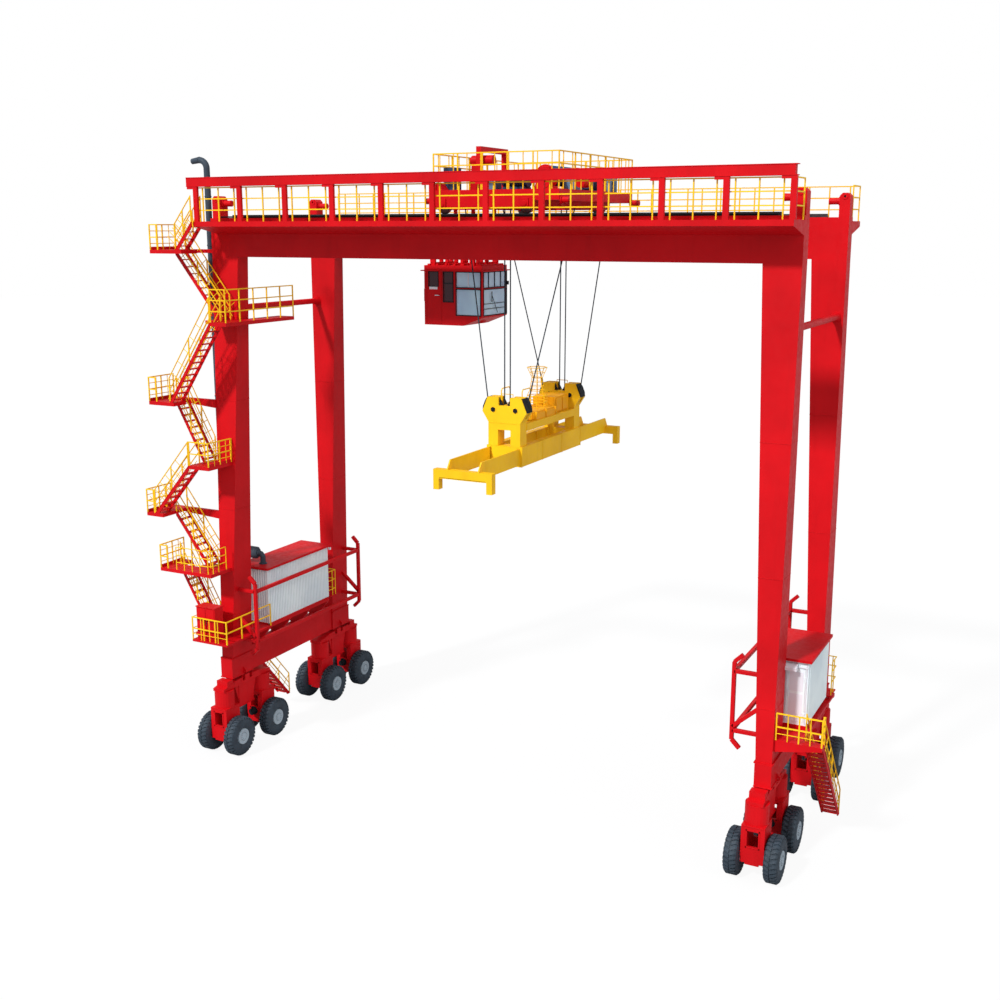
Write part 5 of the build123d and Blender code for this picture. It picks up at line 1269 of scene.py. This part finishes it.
def far_rails():
    """Handrails with small decks at the far ends of the two house skids."""
    rails = Shape()
    foot = 5.25
    for levels, path, posts in (
            ((5.6, 6.06, 6.52), ((-10.72, 2.2), (-10.72, 2.85), (-11.5, 2.85)),
             ((-10.72, 2.6), (-10.72, 2.85), (-11.5, 2.85))),
            ((5.8, 6.24, 6.61), ((13.1, 1.1), (13.73, 1.1), (13.73, 0.4)),
             ((13.1, 1.1), (13.6, 1.1), (13.73, 0.75), (13.73, 0.4)))):
        for z in levels:
            rails.route([(*at, z) for at in path], RAIL_R, 8)
        for at in posts:
            rails.post(*at, foot, levels[-1], sides=8)
    rails.done("skid_rails", YELLOW)
    decks = Shape()
    decks.block(-11.6, -10.69, 2.2, 2.88, 5.24, 5.29)
    decks.block(13.00, 13.76, 0.3, 1.13, 5.24, 5.29)
    decks.done("skid_end_decks", RED, bevel=0.01)


# stage, light and camera

def camera():
    data = bpy.data.cameras.new("camera")
    data.lens = CAMERA_LENS
    data.sensor_width = SENSOR
    data.clip_end = 1000.0
    cam = linked("camera", data)
    cam.location = CAMERA_AT
    cam.rotation_euler = (radians(90.0 - CAMERA_PITCH), 0.0, radians(CAMERA_YAW))
    bpy.context.scene.camera = cam


def floor():
    """Pale ground: the camera sees it mostly as plain white, with soft contact shadows."""
    seen_tone = (0.86, 0.86, 0.87)
    light_tone = (0.4, 0.4, 0.41)
    s = Shader("floor_pale", seen_tone, 0.9)
    s.bsdf.inputs["Specular IOR Level"].default_value = 0.0
    glow = s.node("ShaderNodeEmission", Strength=1.0)
    path = s.node("ShaderNodeLightPath")
    part = s.node("ShaderNodeMath", operation="MULTIPLY")
    s.link(path.outputs["Is Camera Ray"], part.inputs[0])
    part.inputs[1].default_value = 0.93
    s.color(s.mix(path.outputs["Is Camera Ray"], light_tone, seen_tone))
    mix = s.node("ShaderNodeMixShader")
    s.link(part.outputs["Value"], mix.inputs["Fac"])
    s.link(s.bsdf.outputs["BSDF"], mix.inputs[1])
    s.link(glow.outputs["Emission"], mix.inputs[2])
    s.link(mix.outputs["Shader"], s.tree.nodes["Material Output"].inputs["Surface"])
    bm = bmesh.new()
    bmesh.ops.create_circle(bm, cap_ends=True, radius=400.0, segments=64)
    obj = made("floor", bm, s.mat)
    obj.location.z = -0.004


def sun(name, energy, angle, pitch, yaw):
    """Sun lamp: strength, width of its disc, tilt from straight down and turn, in degrees."""
    data = bpy.data.lights.new(name, "SUN")
    data.energy = energy
    data.angle = radians(angle)
    linked(name, data).rotation_euler = (radians(pitch), 0.0, radians(yaw))


def light():
    """Pale blue sky light that the camera sees as white, with two suns."""
    world = bpy.data.worlds.new("world")
    bpy.context.scene.world = world
    world.use_nodes = True
    tree = world.node_tree
    back = tree.nodes["Background"]
    back.inputs["Color"].default_value = (0.93, 0.96, 1.0, 1.0)
    back.inputs["Strength"].default_value = 0.58
    seen = tree.nodes.new("ShaderNodeBackground")
    seen.inputs["Color"].default_value = (1.0, 1.0, 1.0, 1.0)
    path = tree.nodes.new("ShaderNodeLightPath")
    mix = tree.nodes.new("ShaderNodeMixShader")
    tree.links.new(path.outputs["Is Camera Ray"], mix.inputs["Fac"])
    tree.links.new(back.outputs["Background"], mix.inputs[1])
    tree.links.new(seen.outputs["Background"], mix.inputs[2])
    tree.links.new(mix.outputs["Shader"], tree.nodes["World Output"].inputs["Surface"])
    sun("key", 3.0, 5.0, 48.0, -18.0)
    sun("fill", 0.8, 40.0, 60.0, 70.0)
    bpy.context.scene.view_settings.view_transform = "Standard"


camera()
light()
floor()
dress_cad_nodes()
wheel_pairs()
truck_details()
equalizer_details()
leg_details()
walkway_details()
ear_details()
stair_details()
landing_details()
generator_house()
electrical_house()
exhaust()
cabinet_details()
hoist_machinery()
portal_details()
trolley_side_details()
trolley_posts()
cabin()
headblock_details()
lift_boxes()
basket()
spreader_details()
spreader_locks()
ropes()
deck_rails()
guards()
far_rails()
